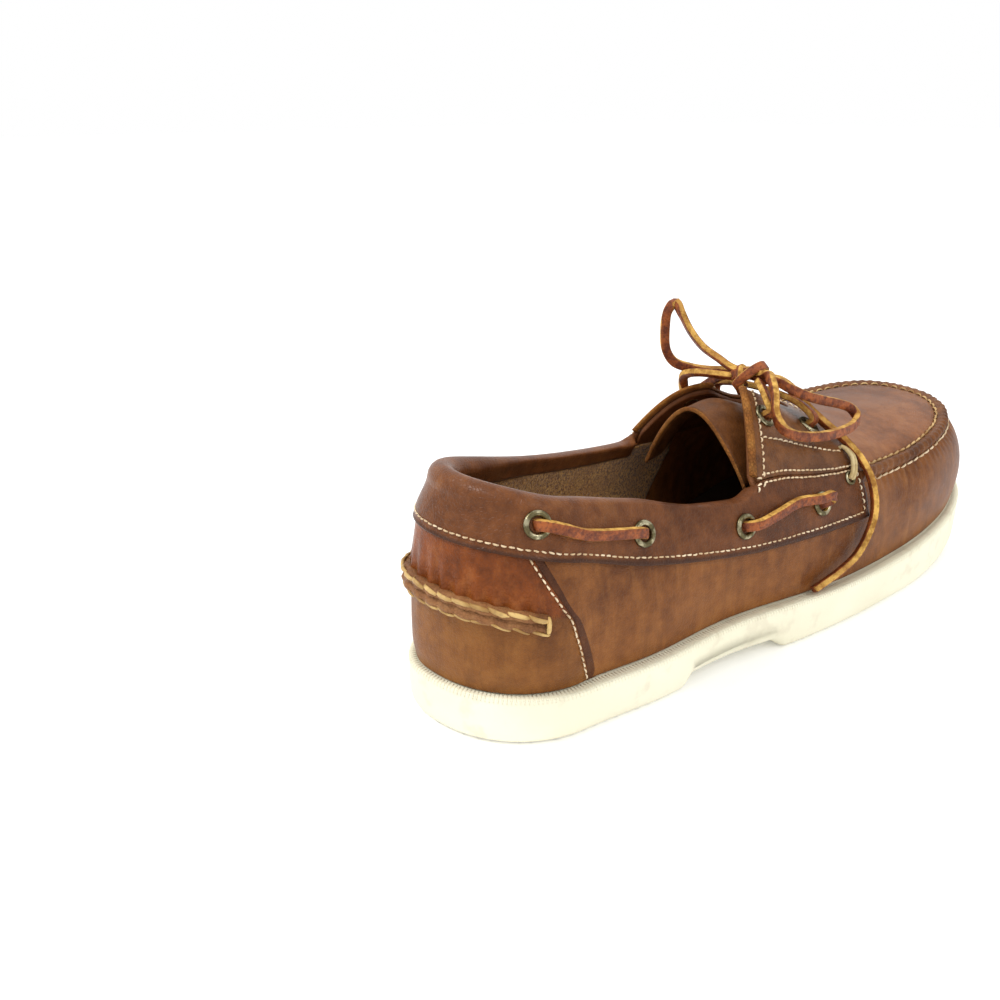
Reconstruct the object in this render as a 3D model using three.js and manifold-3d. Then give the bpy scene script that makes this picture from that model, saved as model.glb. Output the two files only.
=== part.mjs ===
// Boat shoe for the right foot: a hollow moccasin upper, open at the collar and throat, on a cup sole.
// Millimetres. +Y runs from heel to toe, +X to the wearer's right (the outer side), +Z up, sole on z = 0.
// Shapes are worked out with y = 0 at the back of the sole; the whole shoe is then set over its origin.
import * as THREE from "three";
import { mergeVertices } from "three/addons/utils/BufferGeometryUtils.js";
import Module from "manifold-3d";

const wasm = await Module();
wasm.setup();

// ---- driving dimensions ----
const LENGTH = 297;          // sole, heel to toe
const CENTRE_X = -2;         // middle of the sole's width, from the heel's centre line
const HEEL_ARC = 38;         // y of the heel arc's centre
const TOE_ARC = 205;         // y of the toe arc's centre
const BEND = -7;             // sideways sweep of the toe, towards the inner side
const BEND_START = 60;
const HEEL_POWER = 2.1;      // squareness of the heel and toe arcs; 2 is an ellipse
const TOE_POWER = 2.35;
const FOOT_BACK = 3.4;       // upper's foot line: back and front end
const FOOT_FRONT = LENGTH - 2.8;
const CREST_BACK = 12;       // topline and toe seam: back and front end
const CREST_FRONT = 272;
const WALL = 2;              // upper leather
const OVERLAY = 1.4;         // collar band and eyestay leather
const GAP = 0.3;             // left between pieces that meet
const FLANGE = 8;            // upper turned in under the insole
const INSOLE = 3;
const LACE = 3.2;            // lace diameter
const EYELET = { hole: 3.4, bore: 2.5, barrel: 3.1, flange: 4.5, height: 1.2 };

// Half widths of the upper at its foot and at its crest, either side of the swept centre line.
const SIDES = [
  { y: 38, footOut: 37.0, footIn: 24.5, crestOut: 27.5, crestIn: 23.0 },
  { y: 70, footOut: 39.2, footIn: 25.5, crestOut: 29.5, crestIn: 26.5 },
  { y: 105, footOut: 39.5, footIn: 27.5, crestOut: 35.0, crestIn: 29.4 },
  { y: 140, footOut: 44.5, footIn: 32.0, crestOut: 38.3, crestIn: 32.0 },
  { y: 175, footOut: 46.8, footIn: 41.0, crestOut: 39.1, crestIn: 33.5 },
  { y: 205, footOut: 46.8, footIn: 46.5, crestOut: 37.2, crestIn: 31.5 },
];
// Side view: sole rim, crest (topline, then toe seam), the wall's bulge low and high, how far below
// the crest the high bulge sits, the collar band's lower edge up the wall, and the rim ledge's width.
const PROFILE = [
  { y: 0, rim: 17.6, crest: 84.5, low: 1.5, high: 6, drop: 0.3, band: 0.71, ledge: 2.6 },
  { y: 12, rim: 17.4, crest: 83.8, low: 1.5, high: 6.5, drop: 0.3, band: 0.71, ledge: 3.0 },
  { y: 38, rim: 16.8, crest: 77.5, low: 2, high: 7.5, drop: 0.32, band: 0.68, ledge: 4.2 },
  { y: 65, rim: 16.6, crest: 70.4, low: 2, high: 8, drop: 0.32, band: 0.62, ledge: 4.5 },
  { y: 95, rim: 17.6, crest: 65.6, low: 2, high: 7.5, drop: 0.32, band: 0.56, ledge: 4.5 },
  { y: 125, rim: 18.4, crest: 62.6, low: 2, high: 7.5, drop: 0.32, band: 0.52, ledge: 4.5 },
  { y: 172, rim: 17.6, crest: 61.0, low: 2, high: 8.5, drop: 0.3, band: 0.51, ledge: 4.5 },
  { y: 207, rim: 18.6, crest: 59.0, low: 2.5, high: 11, drop: 0.22, band: 0.51, ledge: 4.5 },
  { y: 240, rim: 21.6, crest: 61.5, low: 3, high: 14, drop: 0.15, band: 0.51, ledge: 3.6 },
  { y: 297, rim: 26.8, crest: 66.5, low: 4, high: 15, drop: 0.12, band: 0.51, ledge: 2.8 },
];
// Height along the middle of the instep and the plug.
const SPINE = [
  { y: 105, z: 94 }, { y: 137, z: 94.5 }, { y: 150, z: 88.5 }, { y: 160, z: 83 }, { y: 172, z: 77.5 },
  { y: 190, z: 71.5 }, { y: 207, z: 68 }, { y: 240, z: 66 }, { y: 297, z: 66 },
];
// Tongue: height of its crown, how fast it falls to the sides, and its half width.
const TONGUE = [
  { y: 121, crown: 85.5, fall: 0.0297, half: 28 },
  { y: 137, crown: 86, fall: 0.027, half: 27 },
  { y: 150, crown: 81.8, fall: 0.018, half: 25.5 },
  { y: 172, crown: 72.6, fall: 0.011, half: 23 },
  { y: 196, crown: 66, fall: 0.008, half: 20 },
];
// The throat: where each eyestay's back edge starts on the topline, where it ends, and the slot.
const THROAT = {
  outer: { start: 117, corner: 137 },
  inner: { start: 124, corner: 150 },
  half: 13, roundFrom: 164, end: 174,
};
const EYESTAY_FRONT = 180;
const BAND_FRONT = 177;

// ---- numbers from tables ----
function column(rows, name, y) {
  const last = rows.length - 1;
  const i = Math.min(Math.max(rows.findIndex((row) => row.y > y) - 1, 0), last - 1);
  const k = y >= rows[last].y ? last - 1 : i;
  const slope = (n) => (rows[n + 1][name] - rows[n][name]) / (rows[n + 1].y - rows[n].y);
  const tangent = (n) => {
    if (n === 0 || n === last) return 0;
    const before = rows[n].y - rows[n - 1].y;
    const after = rows[n + 1].y - rows[n].y;
    return (slope(n - 1) * after + slope(n) * before) / (before + after);
  };
  const width = rows[k + 1].y - rows[k].y;
  const t = THREE.MathUtils.clamp((y - rows[k].y) / width, 0, 1);
  const start = rows[k][name] * (1 + 2 * t) * (1 - t) ** 2 + tangent(k) * width * t * (1 - t) ** 2;
  return start + rows[k + 1][name] * t * t * (3 - 2 * t) - tangent(k + 1) * width * t * t * (1 - t);
}
const profile = (name, y) => column(PROFILE, name, y);
const spineHeight = (y) => column(SPINE, "z", y);
const sweep = (y) => BEND * Math.max((y - BEND_START) / (LENGTH - BEND_START), 0) ** 2;
const smooth = (a, b, y) => THREE.MathUtils.smoothstep(y, a, b);
function range(from, to, count) {
  return Array.from({ length: count + 1 }, (_, i) => from + ((to - from) * i) / count);
}

// ---- the last: u runs round the shoe, v up the wall (0 to 1) and on over the top to the middle (2) ----
// u = 0 back of the heel, 1 and 5 ends of the heel arc, 2 and 4 ends of the toe arc, 3 tip of the toe.
function ringPoint(u, form, grow) {
  const turn = ((u % 6) + 6) % 6;
  const outer = turn < 3;
  const w = outer ? turn : 6 - turn;
  const name = form + (outer ? "Out" : "In");
  const back = form === "foot" ? FOOT_BACK : CREST_BACK;
  const front = form === "foot" ? FOOT_FRONT : CREST_FRONT;
  let x;
  let y;
  if (w < 1) {
    const angle = (w * Math.PI) / 2;
    x = (column(SIDES, name, HEEL_ARC) + grow) * Math.sin(angle) ** (2 / HEEL_POWER);
    y = HEEL_ARC - (HEEL_ARC - back + grow) * Math.cos(angle) ** (2 / HEEL_POWER);
  } else if (w <= 2) {
    y = HEEL_ARC + (TOE_ARC - HEEL_ARC) * (w - 1);
    x = column(SIDES, name, y) + grow;
  } else {
    const angle = ((w - 2) * Math.PI) / 2;
    x = (column(SIDES, name, TOE_ARC) + grow) * Math.abs(Math.cos(angle)) ** (2 / TOE_POWER);
    y = TOE_ARC + (front - TOE_ARC + grow) * Math.sin(angle) ** (2 / TOE_POWER);
  }
  if (w === 0 || w === 3) x = 0;
  return { x: (outer ? x : -x) + sweep(y), y };
}
function outward(u) {
  const step = 1e-3;
  const before = ringPoint(u - step, "foot", 2);
  const after = ringPoint(u + step, "foot", 2);
  const dx = after.x - before.x;
  const dy = after.y - before.y;
  const size = Math.hypot(dx, dy);
  return { x: dy / size, y: -dx / size };
}
// A crest point; depth is measured inwards from the upper's outside, and negative depth is proud of it.
function crestPoint(u, depth) {
  const { x, y } = ringPoint(u, "crest", 0);
  const out = outward(u);
  const lean = 0.7 * smooth(112, 137, y);
  const level = Math.sqrt(1 - lean * lean);
  const inset = depth * level;
  return new THREE.Vector3(x - out.x * inset, y - out.y * inset, profile("crest", y) - depth * lean);
}
function footPoint(u, depth) {
  const ring = ringPoint(u, "foot", 0);
  const out = outward(u);
  const y = ring.y - out.y * depth;
  return new THREE.Vector3(ring.x - out.x * depth, y, profile("rim", y) + GAP);
}
function wallPoint(u, v, depth) {
  const foot = footPoint(u, depth);
  const crest = crestPoint(u, depth);
  const out = outward(u);
  const height = crest.z - foot.z;
  const low = profile("low", crest.y);
  const high = profile("high", crest.y);
  const bulge = new THREE.Vector3(foot.x + out.x * low, foot.y + out.y * low, foot.z + 0.38 * height);
  const shoulder = new THREE.Vector3(crest.x + out.x * high, crest.y + out.y * high, crest.z);
  shoulder.z -= profile("drop", crest.y) * height;
  return new THREE.CubicBezierCurve3(foot, bulge, shoulder, crest).getPoint(v);
}
function topPoint(u, rho, depth) {
  const crest = crestPoint(u, depth);
  const coreY = Math.min(ringPoint(u, "crest", 0).y, TOE_ARC);
  const x = sweep(coreY) + (crest.x - sweep(coreY)) * rho;
  const y = coreY + (crest.y - coreY) * rho;
  const fall = crest.z - spineHeight(crest.y) + depth;
  return new THREE.Vector3(x, y, spineHeight(y) - depth + fall * rho * rho);
}
const surface = (u, v, depth) => (v <= 1 ? wallPoint(u, v, depth) : topPoint(u, 2 - v, depth));
function surfaceNormal(u, v, depth) {
  const step = 0.01;
  const along = surface(u + step, v, depth).sub(surface(u - step, v, depth));
  const up = surface(u, v + step, depth).sub(surface(u, v - step, depth));
  return along.cross(up).normalize();
}
// The v where each column's top edge lies: the topline, then the eyestay's back edge, the throat, the middle.
function edgeV(u) {
  const { x, y } = ringPoint(u, "crest", 0);
  const half = Math.abs(x - sweep(y));
  const { start, corner } = u % 6 < 3 ? THROAT.outer : THROAT.inner;
  if (y <= start) return 1;
  const slant = (y - start) / (corner - start);
  if (y < corner) return 2 - THREE.MathUtils.lerp(1, THROAT.half / half, slant);
  if (y < THROAT.roundFrom) return 2 - THROAT.half / half;
  if (y >= THROAT.end) return 2;
  const t = (y - THROAT.roundFrom) / (THROAT.end - THROAT.roundFrom);
  return 2 - (THROAT.half / half) * Math.sqrt(1 - t * t);
}
// Stations round the shoe, denser where the throat turns.
const uOfY = (y) => 1 + (y - HEEL_ARC) / (TOE_ARC - HEEL_ARC);
function sideStations({ start, corner }) {
  return [
    ...range(uOfY(HEEL_ARC), uOfY(start), 6), ...range(uOfY(start), uOfY(corner), 3).slice(1),
    ...range(uOfY(corner), uOfY(THROAT.roundFrom), 2).slice(1),
    ...[167.5, 171.5, THROAT.end, BAND_FRONT, EYESTAY_FRONT, 192, TOE_ARC].map(uOfY),
  ];
}
const OUTER = [...range(0, 1, 6).slice(0, -1), ...sideStations(THROAT.outer), ...range(2, 3, 7).slice(1)];
const INNER = [...range(0, 1, 6).slice(0, -1), ...sideStations(THROAT.inner), ...range(2, 3, 7).slice(1)];
const AROUND = [...OUTER, ...INNER.slice(1, -1).reverse().map((w) => 6 - w)];
const between = (from, to) => AROUND.filter((u) => u >= from - 1e-6 && u <= to + 1e-6);
const onSpine = (p) => Math.abs(p.x - sweep(p.y)) < 1e-4;

// ---- building closed solids ----
function toSolid(triangles) {
  const positions = new Float32Array(triangles.flat().flatMap((p) => [p.x, p.y, p.z]));
  const loose = new THREE.BufferGeometry();
  loose.setAttribute("position", new THREE.BufferAttribute(positions, 3));
  const merged = mergeVertices(loose, 1e-3);
  const index = [];
  for (let i = 0; i < merged.index.count; i += 3) {
    const [a, b, c] = [0, 1, 2].map((n) => merged.index.getX(i + n));
    if (a !== b && b !== c && c !== a) index.push(a, b, c);
  }
  merged.setIndex(index);
  return facingOut(merged);
}
function facingOut(geometry) {
  const p = geometry.attributes.position;
  const corner = (i) => new THREE.Vector3().fromBufferAttribute(p, geometry.index.getX(i));
  let volume = 0;
  for (let i = 0; i < geometry.index.count; i += 3) {
    volume += corner(i).dot(corner(i + 1).cross(corner(i + 2)));
  }
  if (volume < 0) geometry.setIndex(Array.from(geometry.index.array).reverse());
  return geometry;
}
// A closed solid between two grids of points. A strip whose ends both lie on the middle line is left out,
// because the other half of the shoe continues there.
function slabTriangles(outer, inner, { loop = false, caps = true } = {}) {
  const triangles = [];
  const quad = (a, b, c, d) => triangles.push([a, b, c], [a, c, d]);
  const last = outer[0].length - 1;
  const columns = loop ? outer.length : outer.length - 1;
  for (let i = 0; i < columns; i++) {
    const j = (i + 1) % outer.length;
    for (let k = 0; k < last; k++) {
      quad(outer[i][k], outer[j][k], outer[j][k + 1], outer[i][k + 1]);
      quad(inner[i][k], inner[i][k + 1], inner[j][k + 1], inner[j][k]);
    }
    quad(inner[i][0], inner[j][0], outer[j][0], outer[i][0]);
    if (onSpine(outer[i][last]) && onSpine(outer[j][last])) continue;
    quad(outer[i][last], outer[j][last], inner[j][last], inner[i][last]);
  }
  if (!loop && caps) {
    const end = outer.length - 1;
    for (let k = 0; k < last; k++) {
      quad(outer[0][k], outer[0][k + 1], inner[0][k + 1], inner[0][k]);
      quad(inner[end][k], inner[end][k + 1], outer[end][k + 1], outer[end][k]);
    }
  }
  return triangles;
}
const slab = (outer, inner, options) => toSolid(slabTriangles(outer, inner, options));
function toManifold(geometry) {
  const vertProperties = new Float32Array(geometry.attributes.position.array);
  const triVerts = new Uint32Array(geometry.index.array);
  return new wasm.Manifold(new wasm.Mesh({ numProp: 3, vertProperties, triVerts }));
}
function fromManifold(solid) {
  const { vertProperties, triVerts } = solid.getMesh();
  const geometry = new THREE.BufferGeometry();
  geometry.setAttribute("position", new THREE.BufferAttribute(vertProperties, 3));
  geometry.setIndex(new THREE.BufferAttribute(triVerts, 1));
  return geometry;
}

// ---- eyelets: four along each side of the collar band, two on each eyestay ----
const BAND_FACE = -(GAP + OVERLAY);
const COLLAR_HOLES = [
  { u: 0.738, v: 0.876 }, { u: 1.168, v: 0.823 }, { u: 1.432, v: 0.773 }, { u: 1.67, v: 0.774 },
];
const THROAT_HOLES = [{ u: 1.599, v: 1.4 }, { u: 1.763, v: 1.4 }];
// The eyestay starts further forward on the inner side, and so does its rear eyelet.
const INNER_REAR = { u: 4.343, v: 1.35 };
const innerSide = (hole) => (hole === THROAT_HOLES[0] ? INNER_REAR : { u: 6 - hole.u, v: hole.v });
const HOLES = [...COLLAR_HOLES, ...THROAT_HOLES].flatMap((hole) => [hole, innerSide(hole)]);
function place(geometry, { u, v }, depth) {
  const turn = new THREE.Quaternion();
  turn.setFromUnitVectors(new THREE.Vector3(0, 1, 0), surfaceNormal(u, v, depth));
  const at = surface(u, v, depth);
  return geometry.applyMatrix4(new THREE.Matrix4().compose(at, turn, new THREE.Vector3(1, 1, 1)));
}
function pierce(geometry, holes) {
  let solid = toManifold(geometry);
  for (const hole of holes) {
    const punch = new THREE.CylinderGeometry(EYELET.hole, EYELET.hole, 16, 10);
    punch.deleteAttribute("normal");
    punch.deleteAttribute("uv");
    solid = solid.subtract(toManifold(facingOut(mergeVertices(place(punch, hole, BAND_FACE)))));
  }
  return fromManifold(solid);
}
function eyelet(hole) {
  const { bore, barrel, flange, height } = EYELET;
  const inside = -(WALL + GAP + OVERLAY);
  const outline = [
    [bore, inside], [barrel, inside], [barrel, GAP], [flange, GAP], [flange - 0.3, 0.8 * height],
    [(flange + bore) / 2, height + GAP], [bore, GAP], [bore, inside],
  ].map(([r, s]) => new THREE.Vector2(r, s));
  const ring = new THREE.LatheGeometry(outline, 10);
  ring.deleteAttribute("normal");
  ring.deleteAttribute("uv");
  return facingOut(mergeVertices(place(ring, hole, BAND_FACE), 1e-3));
}

// ---- upper ----
// Rows up the wall: the flange turned in, the foot, four rows to the band's lower edge, three to the crest.
const bandV = (u) => profile("band", ringPoint(u, "crest", 0).y);
const bandThird = (u) => (1 - bandV(u)) / 3;
const wallRows = (u) => [...range(0, bandV(u), 4), ...range(bandV(u), 1, 3).slice(1)];
const STAY_EDGE = 1.06;      // v of the eyestay's lower edge
const topRows = (u) => range(Math.min(STAY_EDGE, (1 + edgeV(u)) / 2), edgeV(u), 3);
function upper() {
  const layer = (u, depth) => [...wallRows(u), ...topRows(u)].map((v) => surface(u, v, depth));
  const raised = (p) => p.clone().setZ(p.z + WALL);
  const outer = AROUND.map((u) => [footPoint(u, FLANGE), ...layer(u, 0)]);
  const inner = AROUND.map((u) => {
    const rows = layer(u, WALL);
    return [raised(footPoint(u, FLANGE)), raised(footPoint(u, WALL)), ...rows.slice(1)];
  });
  return pierce(slab(outer, inner, { loop: true }), HOLES);
}

// ---- collar band: leather folded over the topline, ending flat at the vamp on either side ----
function collarBand() {
  const end = uOfY(BAND_FRONT);
  const stations = [...between(6 - end, 6).map((u) => u - 6), ...between(0, end)];
  const layer = (station, over) => {
    const u = (station + 6) % 6;
    const y = ringPoint(u, "crest", 0).y;
    const { start } = u < 3 ? THROAT.outer : THROAT.inner;
    const lift = over * (1 - smooth(112, 137, y));
    const raised = (depth) => crestPoint(u, depth).add(new THREE.Vector3(0, 0, lift));
    const outside = range(bandV(u), 1, 3).map((v) => surface(u, v, -over));
    // The fold stops behind the eyestay, and its leaf inside the wall stops one station before that.
    const folded = y < start - 5;
    if (!folded) return [...outside, ...Array(5).fill(raised(-over))];
    const edge = crestPoint(u, WALL + over);
    if (y >= start - 20) return [...outside, raised(0), raised(WALL), edge, edge, edge];
    const leaf = [1, 2].map((n) => surface(u, 1 - n * bandThird(u), WALL + over));
    return [...outside, raised(0), raised(WALL), edge, ...leaf];
  };
  const outer = stations.map((u) => layer(u, GAP + OVERLAY));
  const inner = stations.map((u) => layer(u, GAP));
  return pierce(slab(outer, inner), [...COLLAR_HOLES, ...COLLAR_HOLES.map(innerSide)]);
}

// ---- eyestay: one saddle over the instep, its two wings joined in front of the throat ----
function eyestay() {
  const wing = (first, last) => {
    const stations = between(first, last).filter((u) => edgeV(u) > 1.1);
    const layer = (depth) => stations.map((u) => topRows(u).map((v) => surface(u, v, depth)));
    return slabTriangles(layer(-GAP - OVERLAY), layer(-GAP));
  };
  const front = uOfY(EYESTAY_FRONT);
  const saddle = toSolid([...wing(1, front), ...wing(6 - front, 5)]);
  return pierce(saddle, [...THROAT_HOLES, ...THROAT_HOLES.map(innerSide)]);
}

// ---- raised seams: the gathered toe seam, and the ridge round the back of the heel ----
function ridge(stations, centreV, rows) {
  const point = (u, row, depth) => surface(u, centreV(u) + row.v, depth);
  const outer = stations.map((u) => rows(u).map((row) => point(u, row, -row.proud)));
  const inner = stations.map((u) => rows(u).map((row) => point(u, row, -GAP)));
  return slab(outer, inner);
}
const toeRidge = (u) => [
  { v: -bandThird(u), proud: 0.9 }, { v: -bandThird(u) / 2, proud: 2.8 },
  { v: 0, proud: 3.4 }, { v: 0.06, proud: 1.2 },
];
const HEEL_RIDGE = [
  { v: -0.04, proud: 0.9 }, { v: -0.02, proud: 4 }, { v: 0.02, proud: 4 }, { v: 0.04, proud: 0.9 },
];
function toeSeam() {
  const first = uOfY(EYESTAY_FRONT) + 0.01;
  return ridge(between(first, 6 - first), () => 1, toeRidge);
}
function heelSeam() {
  const stations = range(-0.78, 0.78, 12);
  const rise = (u) => 0.42 - 0.045 * Math.abs(u / 0.78) ** 2;
  return ridge(stations.map((u) => (u + 6) % 6), (u) => rise(u > 3 ? u - 6 : u), () => HEEL_RIDGE);
}

// ---- tongue: a curved sheet under the throat, standing clear of the eyestays at its free end ----
const TONGUE_CENTRE = 2.5;
const TONGUE_THICKNESS = 1.6;
function tongue() {
  const point = (y, side, depth) => {
    const x = side * column(TONGUE, "half", y);
    const fall = column(TONGUE, "fall", y);
    const tilt = new THREE.Vector3(2 * fall * x, 0, 1).normalize();
    const height = column(TONGUE, "crown", y) - fall * x * x;
    const crown = new THREE.Vector3(TONGUE_CENTRE + sweep(y) + x, y, height);
    return crown.addScaledVector(tilt, -depth);
  };
  const sides = range(-1, 1, 10);
  const layer = (depth) => range(121, 196, 9).map((y) => sides.map((side) => point(y, side, depth)));
  return slab(layer(0), layer(TONGUE_THICKNESS));
}

// ---- sole and insole: lofted from heel to toe, each section running from the outer to the inner side ----
const SOLE_STATIONS = [
  ...range(0, 1, 7), ...[52, 66, 80, 86, 105, 126, 134, 150, 166, 185, TOE_ARC].map(uOfY),
  ...range(2, 3, 8).slice(1),
];
// Underside height: a flat heel, a raised arch behind the forefoot's flat, then toe spring.
const ARCH = 4.5;
const TOE_SPRING = 9;
const SPRING_START = 218;
function underside(y) {
  const arch = ARCH * smooth(80, 86, y) * (1 - smooth(126, 134, y));
  return arch + TOE_SPRING * Math.max((y - SPRING_START) / (LENGTH - SPRING_START), 0) ** 1.6;
}
function outsole() {
  const edge = [
    { out: 1, sink: 0, z: (rim) => rim },
    { out: 1.02, sink: 0, z: (rim, base) => base + 0.5 * (rim - base) },
    { out: 0.75, sink: 0, z: (rim, base) => base + 2 },
    { out: 0.3, sink: 0, z: (rim, base) => base },
  ];
  const section = (w) => {
    const middle = ringPoint(w, "foot", 0).y;
    const grow = profile("ledge", middle);
    const below = (u) => edge.map(({ out, z }) => {
      const { x, y } = ringPoint(u, "foot", grow * out);
      return new THREE.Vector3(x, y, z(profile("rim", middle), underside(y)));
    });
    return [...below(w), ...below(6 - w).reverse()];
  };
  const under = SOLE_STATIONS.map(section);
  const across = range(0, 1, under[0].length - 1);
  const over = under.map((row) => across.map((t) => row[0].clone().lerp(row[row.length - 1], t)));
  return slab(under, over, { caps: false });
}
function insole() {
  const rise = GAP + WALL + GAP;
  const layer = (height) => SOLE_STATIONS.map((w) => {
    const [outer, inner] = [w, 6 - w].map((u) => ringPoint(u, "foot", -WALL - 1.2));
    return range(0, 1, 3).map((t) => {
      const x = THREE.MathUtils.lerp(outer.x, inner.x, t);
      return new THREE.Vector3(x, outer.y, profile("rim", outer.y) + rise + height);
    });
  });
  return slab(layer(INSOLE), layer(0), { caps: false });
}

// ---- laces ----
const BAR_STEP = 1.3;
const LACE_STEP = 3;         // in lace diameters
function lace(points, spacing = LACE_STEP) {
  const path = new THREE.CatmullRomCurve3(points);
  const round = new THREE.Shape(range(0, 2 * Math.PI, 8).slice(1)
    .map((a) => new THREE.Vector2((LACE / 2) * Math.cos(a), (LACE / 2) * Math.sin(a))));
  const steps = Math.ceil(path.getLength() / (LACE * spacing));
  const tube = new THREE.ExtrudeGeometry(round, { steps, extrudePath: path, bevelEnabled: false });
  tube.deleteAttribute("normal");
  tube.deleteAttribute("uv");
  return facingOut(mergeVertices(tube, 1e-3));
}
const route = (rows) => rows.map(([x, y, z]) => new THREE.Vector3(x, y, z));
// A point on an eyelet's axis, measured out from the face that it is set in.
function onEyelet({ u, v }, out) {
  return surface(u, v, BAND_FACE).addScaledVector(surfaceNormal(u, v, BAND_FACE), out);
}
const through = (hole) => [-2.5, 0.7, 3.4].map((out) => onEyelet(hole, out));
// A bar along the collar band, down through the eyelet at each end.
function sideBar(a, b) {
  const middle = [0.2, 0.5, 0.8].map((t) =>
    surface(THREE.MathUtils.lerp(a.u, b.u, t), THREE.MathUtils.lerp(a.v, b.v, t), -6.6));
  return lace([...through(a), ...middle, ...through(b).reverse()], BAR_STEP);
}
const [REAR_HOLE, FRONT_HOLE] = THROAT_HOLES;
const CROSSING = [[20, 164.3, 82.6], [10, 162.5, 85.4], [-2, 162, 86], [-13, 162.8, 85], [-22, 164.2, 82.4]];
const crossBar = () => lace([
  ...through(FRONT_HOLE), ...route(CROSSING), ...through(innerSide(FRONT_HOLE)).reverse(),
], BAR_STEP);
const tieOuter = () => lace([
  ...through(REAR_HOLE), ...route([[22.5, 139, 90.3], [18, 142, 92.4], [13.2, 145.6, 93.4]]),
], BAR_STEP);
const tieInner = () => lace([
  ...through(innerSide(REAR_HOLE)),
  ...route([
    [-24.8, 146.6, 85.4], [-21.2, 143.3, 89.6], [-14.5, 142.4, 92], [-6, 145.6, 92.4], [-0.8, 147.6, 92.4],
  ]),
], BAR_STEP);
const KNOT = { x: 6, y: 149.5, z: 93.5, halfX: 6.5, halfY: 5.5, halfZ: 5 };
function knot() {
  const ball = new THREE.SphereGeometry(1, 10, 8);
  ball.deleteAttribute("normal");
  ball.deleteAttribute("uv");
  ball.scale(KNOT.halfX, KNOT.halfY, KNOT.halfZ).translate(KNOT.x, KNOT.y, KNOT.z);
  return facingOut(mergeVertices(ball, 1e-3));
}
const LOOP_INNER = [
  [-2.4, 147.4, 96], [-8, 146.8, 98.3], [-14.3, 145, 101.7], [-19.3, 143, 107.2], [-22.8, 141, 113.8],
  [-25.6, 140, 118], [-28.3, 139, 114.5], [-29.3, 139, 105.8], [-28.9, 140, 98.6], [-26.8, 142.6, 93.8],
  [-22, 146.6, 91.8], [-15.5, 149.8, 91.4], [-9, 151, 92.3], [-2.6, 151.6, 92.6],
];
const LOOP_OUTER = [
  [14, 148.6, 95.8], [20, 143.6, 96.3], [26.2, 138.4, 92.9], [30.6, 134.4, 86.8], [32.6, 136.5, 82],
  [34, 142, 78.8], [35.4, 150, 76.9], [36, 160, 75.7], [35, 171, 75.1], [32.8, 180, 75], [29.8, 186.5, 76.4],
  [27, 186, 79], [25.6, 180, 81.6], [24.8, 171.5, 84.2], [23.5, 162, 87.4], [20.8, 156, 90.4],
  [17, 153, 92.9], [13.6, 151.8, 93.6],
];
const END_OUTER = [
  [9.6, 156, 92], [10.5, 160.5, 91.2], [12.5, 165, 88.3], [15.3, 168, 84.2], [18.8, 169.9, 80.3],
  [25, 172, 75.6], [32, 175.3, 70.2], [39.9, 176, 64.6], [44.4, 177.2, 58.2], [47, 177.8, 51.1],
  [48.7, 176.9, 44.4], [49.5, 173.7, 37.7], [49.7, 167.3, 30], [49.2, 158, 25.6], [48.2, 150.5, 22.8],
  [47.4, 145.3, 21],
];
const END_INNER = [
  [-0.8, 154.4, 91.6], [-7.5, 156, 90.6], [-14.5, 156.6, 88], [-21.4, 156.8, 83.2], [-28.6, 157, 77.2],
  [-35, 157.4, 69.6], [-39.5, 158, 61], [-42.4, 158.2, 52], [-43.8, 158.6, 43], [-44, 160, 34.5],
  [-43.8, 163, 28.5], [-44.2, 167, 24],
];

// ---- colours ----
function finish(color, roughness, metalness = 0) {
  return new THREE.MeshStandardMaterial({ color, roughness, metalness });
}
const LEATHER = finish(0x8b6448, 0.55);
const DARK_LEATHER = finish(0x6f4c3a, 0.5);
const SEAM_LEATHER = finish(0x9a5f36, 0.55);
const RUBBER = finish(0xf1ead8, 0.7);
const LINING = finish(0x4a3526, 0.85);
const BRASS = finish(0x9b8f6a, 0.35, 1);
const RAWHIDE = finish(0xa4572a, 0.6);

const shoe = new THREE.Group();
shoe.position.set(-CENTRE_X, -LENGTH / 2, 0);
function add(name, geometry, material) {
  const mesh = new THREE.Mesh(geometry, material);
  mesh.name = name;
  shoe.add(mesh);
}
add("outsole", outsole(), RUBBER);
add("insole", insole(), LINING);
add("upper", upper(), LEATHER);
add("tongue", tongue(), DARK_LEATHER);
add("collar_band", collarBand(), DARK_LEATHER);
add("eyestay", eyestay(), DARK_LEATHER);
add("toe_seam", toeSeam(), SEAM_LEATHER);
add("heel_seam", heelSeam(), SEAM_LEATHER);
for (const [row, holes] of [["collar", COLLAR_HOLES], ["throat", THROAT_HOLES]]) {
  holes.forEach((hole, i) => {
    add(`eyelet_${row}_outer_${i + 1}`, eyelet(hole), BRASS);
    add(`eyelet_${row}_inner_${i + 1}`, eyelet(innerSide(hole)), BRASS);
  });
}
for (const [side, at] of [["outer", (hole) => hole], ["inner", innerSide]]) {
  const [first, second, third, fourth] = COLLAR_HOLES.map(at);
  add(`lace_bar_${side}_rear`, sideBar(first, second), RAWHIDE);
  add(`lace_bar_${side}_front`, sideBar(third, fourth), RAWHIDE);
}
add("lace_cross_front", crossBar(), RAWHIDE);
add("lace_tie_outer", tieOuter(), RAWHIDE);
add("lace_tie_inner", tieInner(), RAWHIDE);
add("lace_knot", knot(), RAWHIDE);
add("lace_loop_inner", lace(route(LOOP_INNER)), RAWHIDE);
add("lace_loop_outer", lace(route(LOOP_OUTER)), RAWHIDE);
add("lace_end_outer", lace(route(END_OUTER)), RAWHIDE);
add("lace_end_inner", lace(route(END_INNER)), RAWHIDE);

export default shoe;
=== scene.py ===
import math

import bmesh
import bpy
import numpy as np
from mathutils import Matrix, Vector


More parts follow.
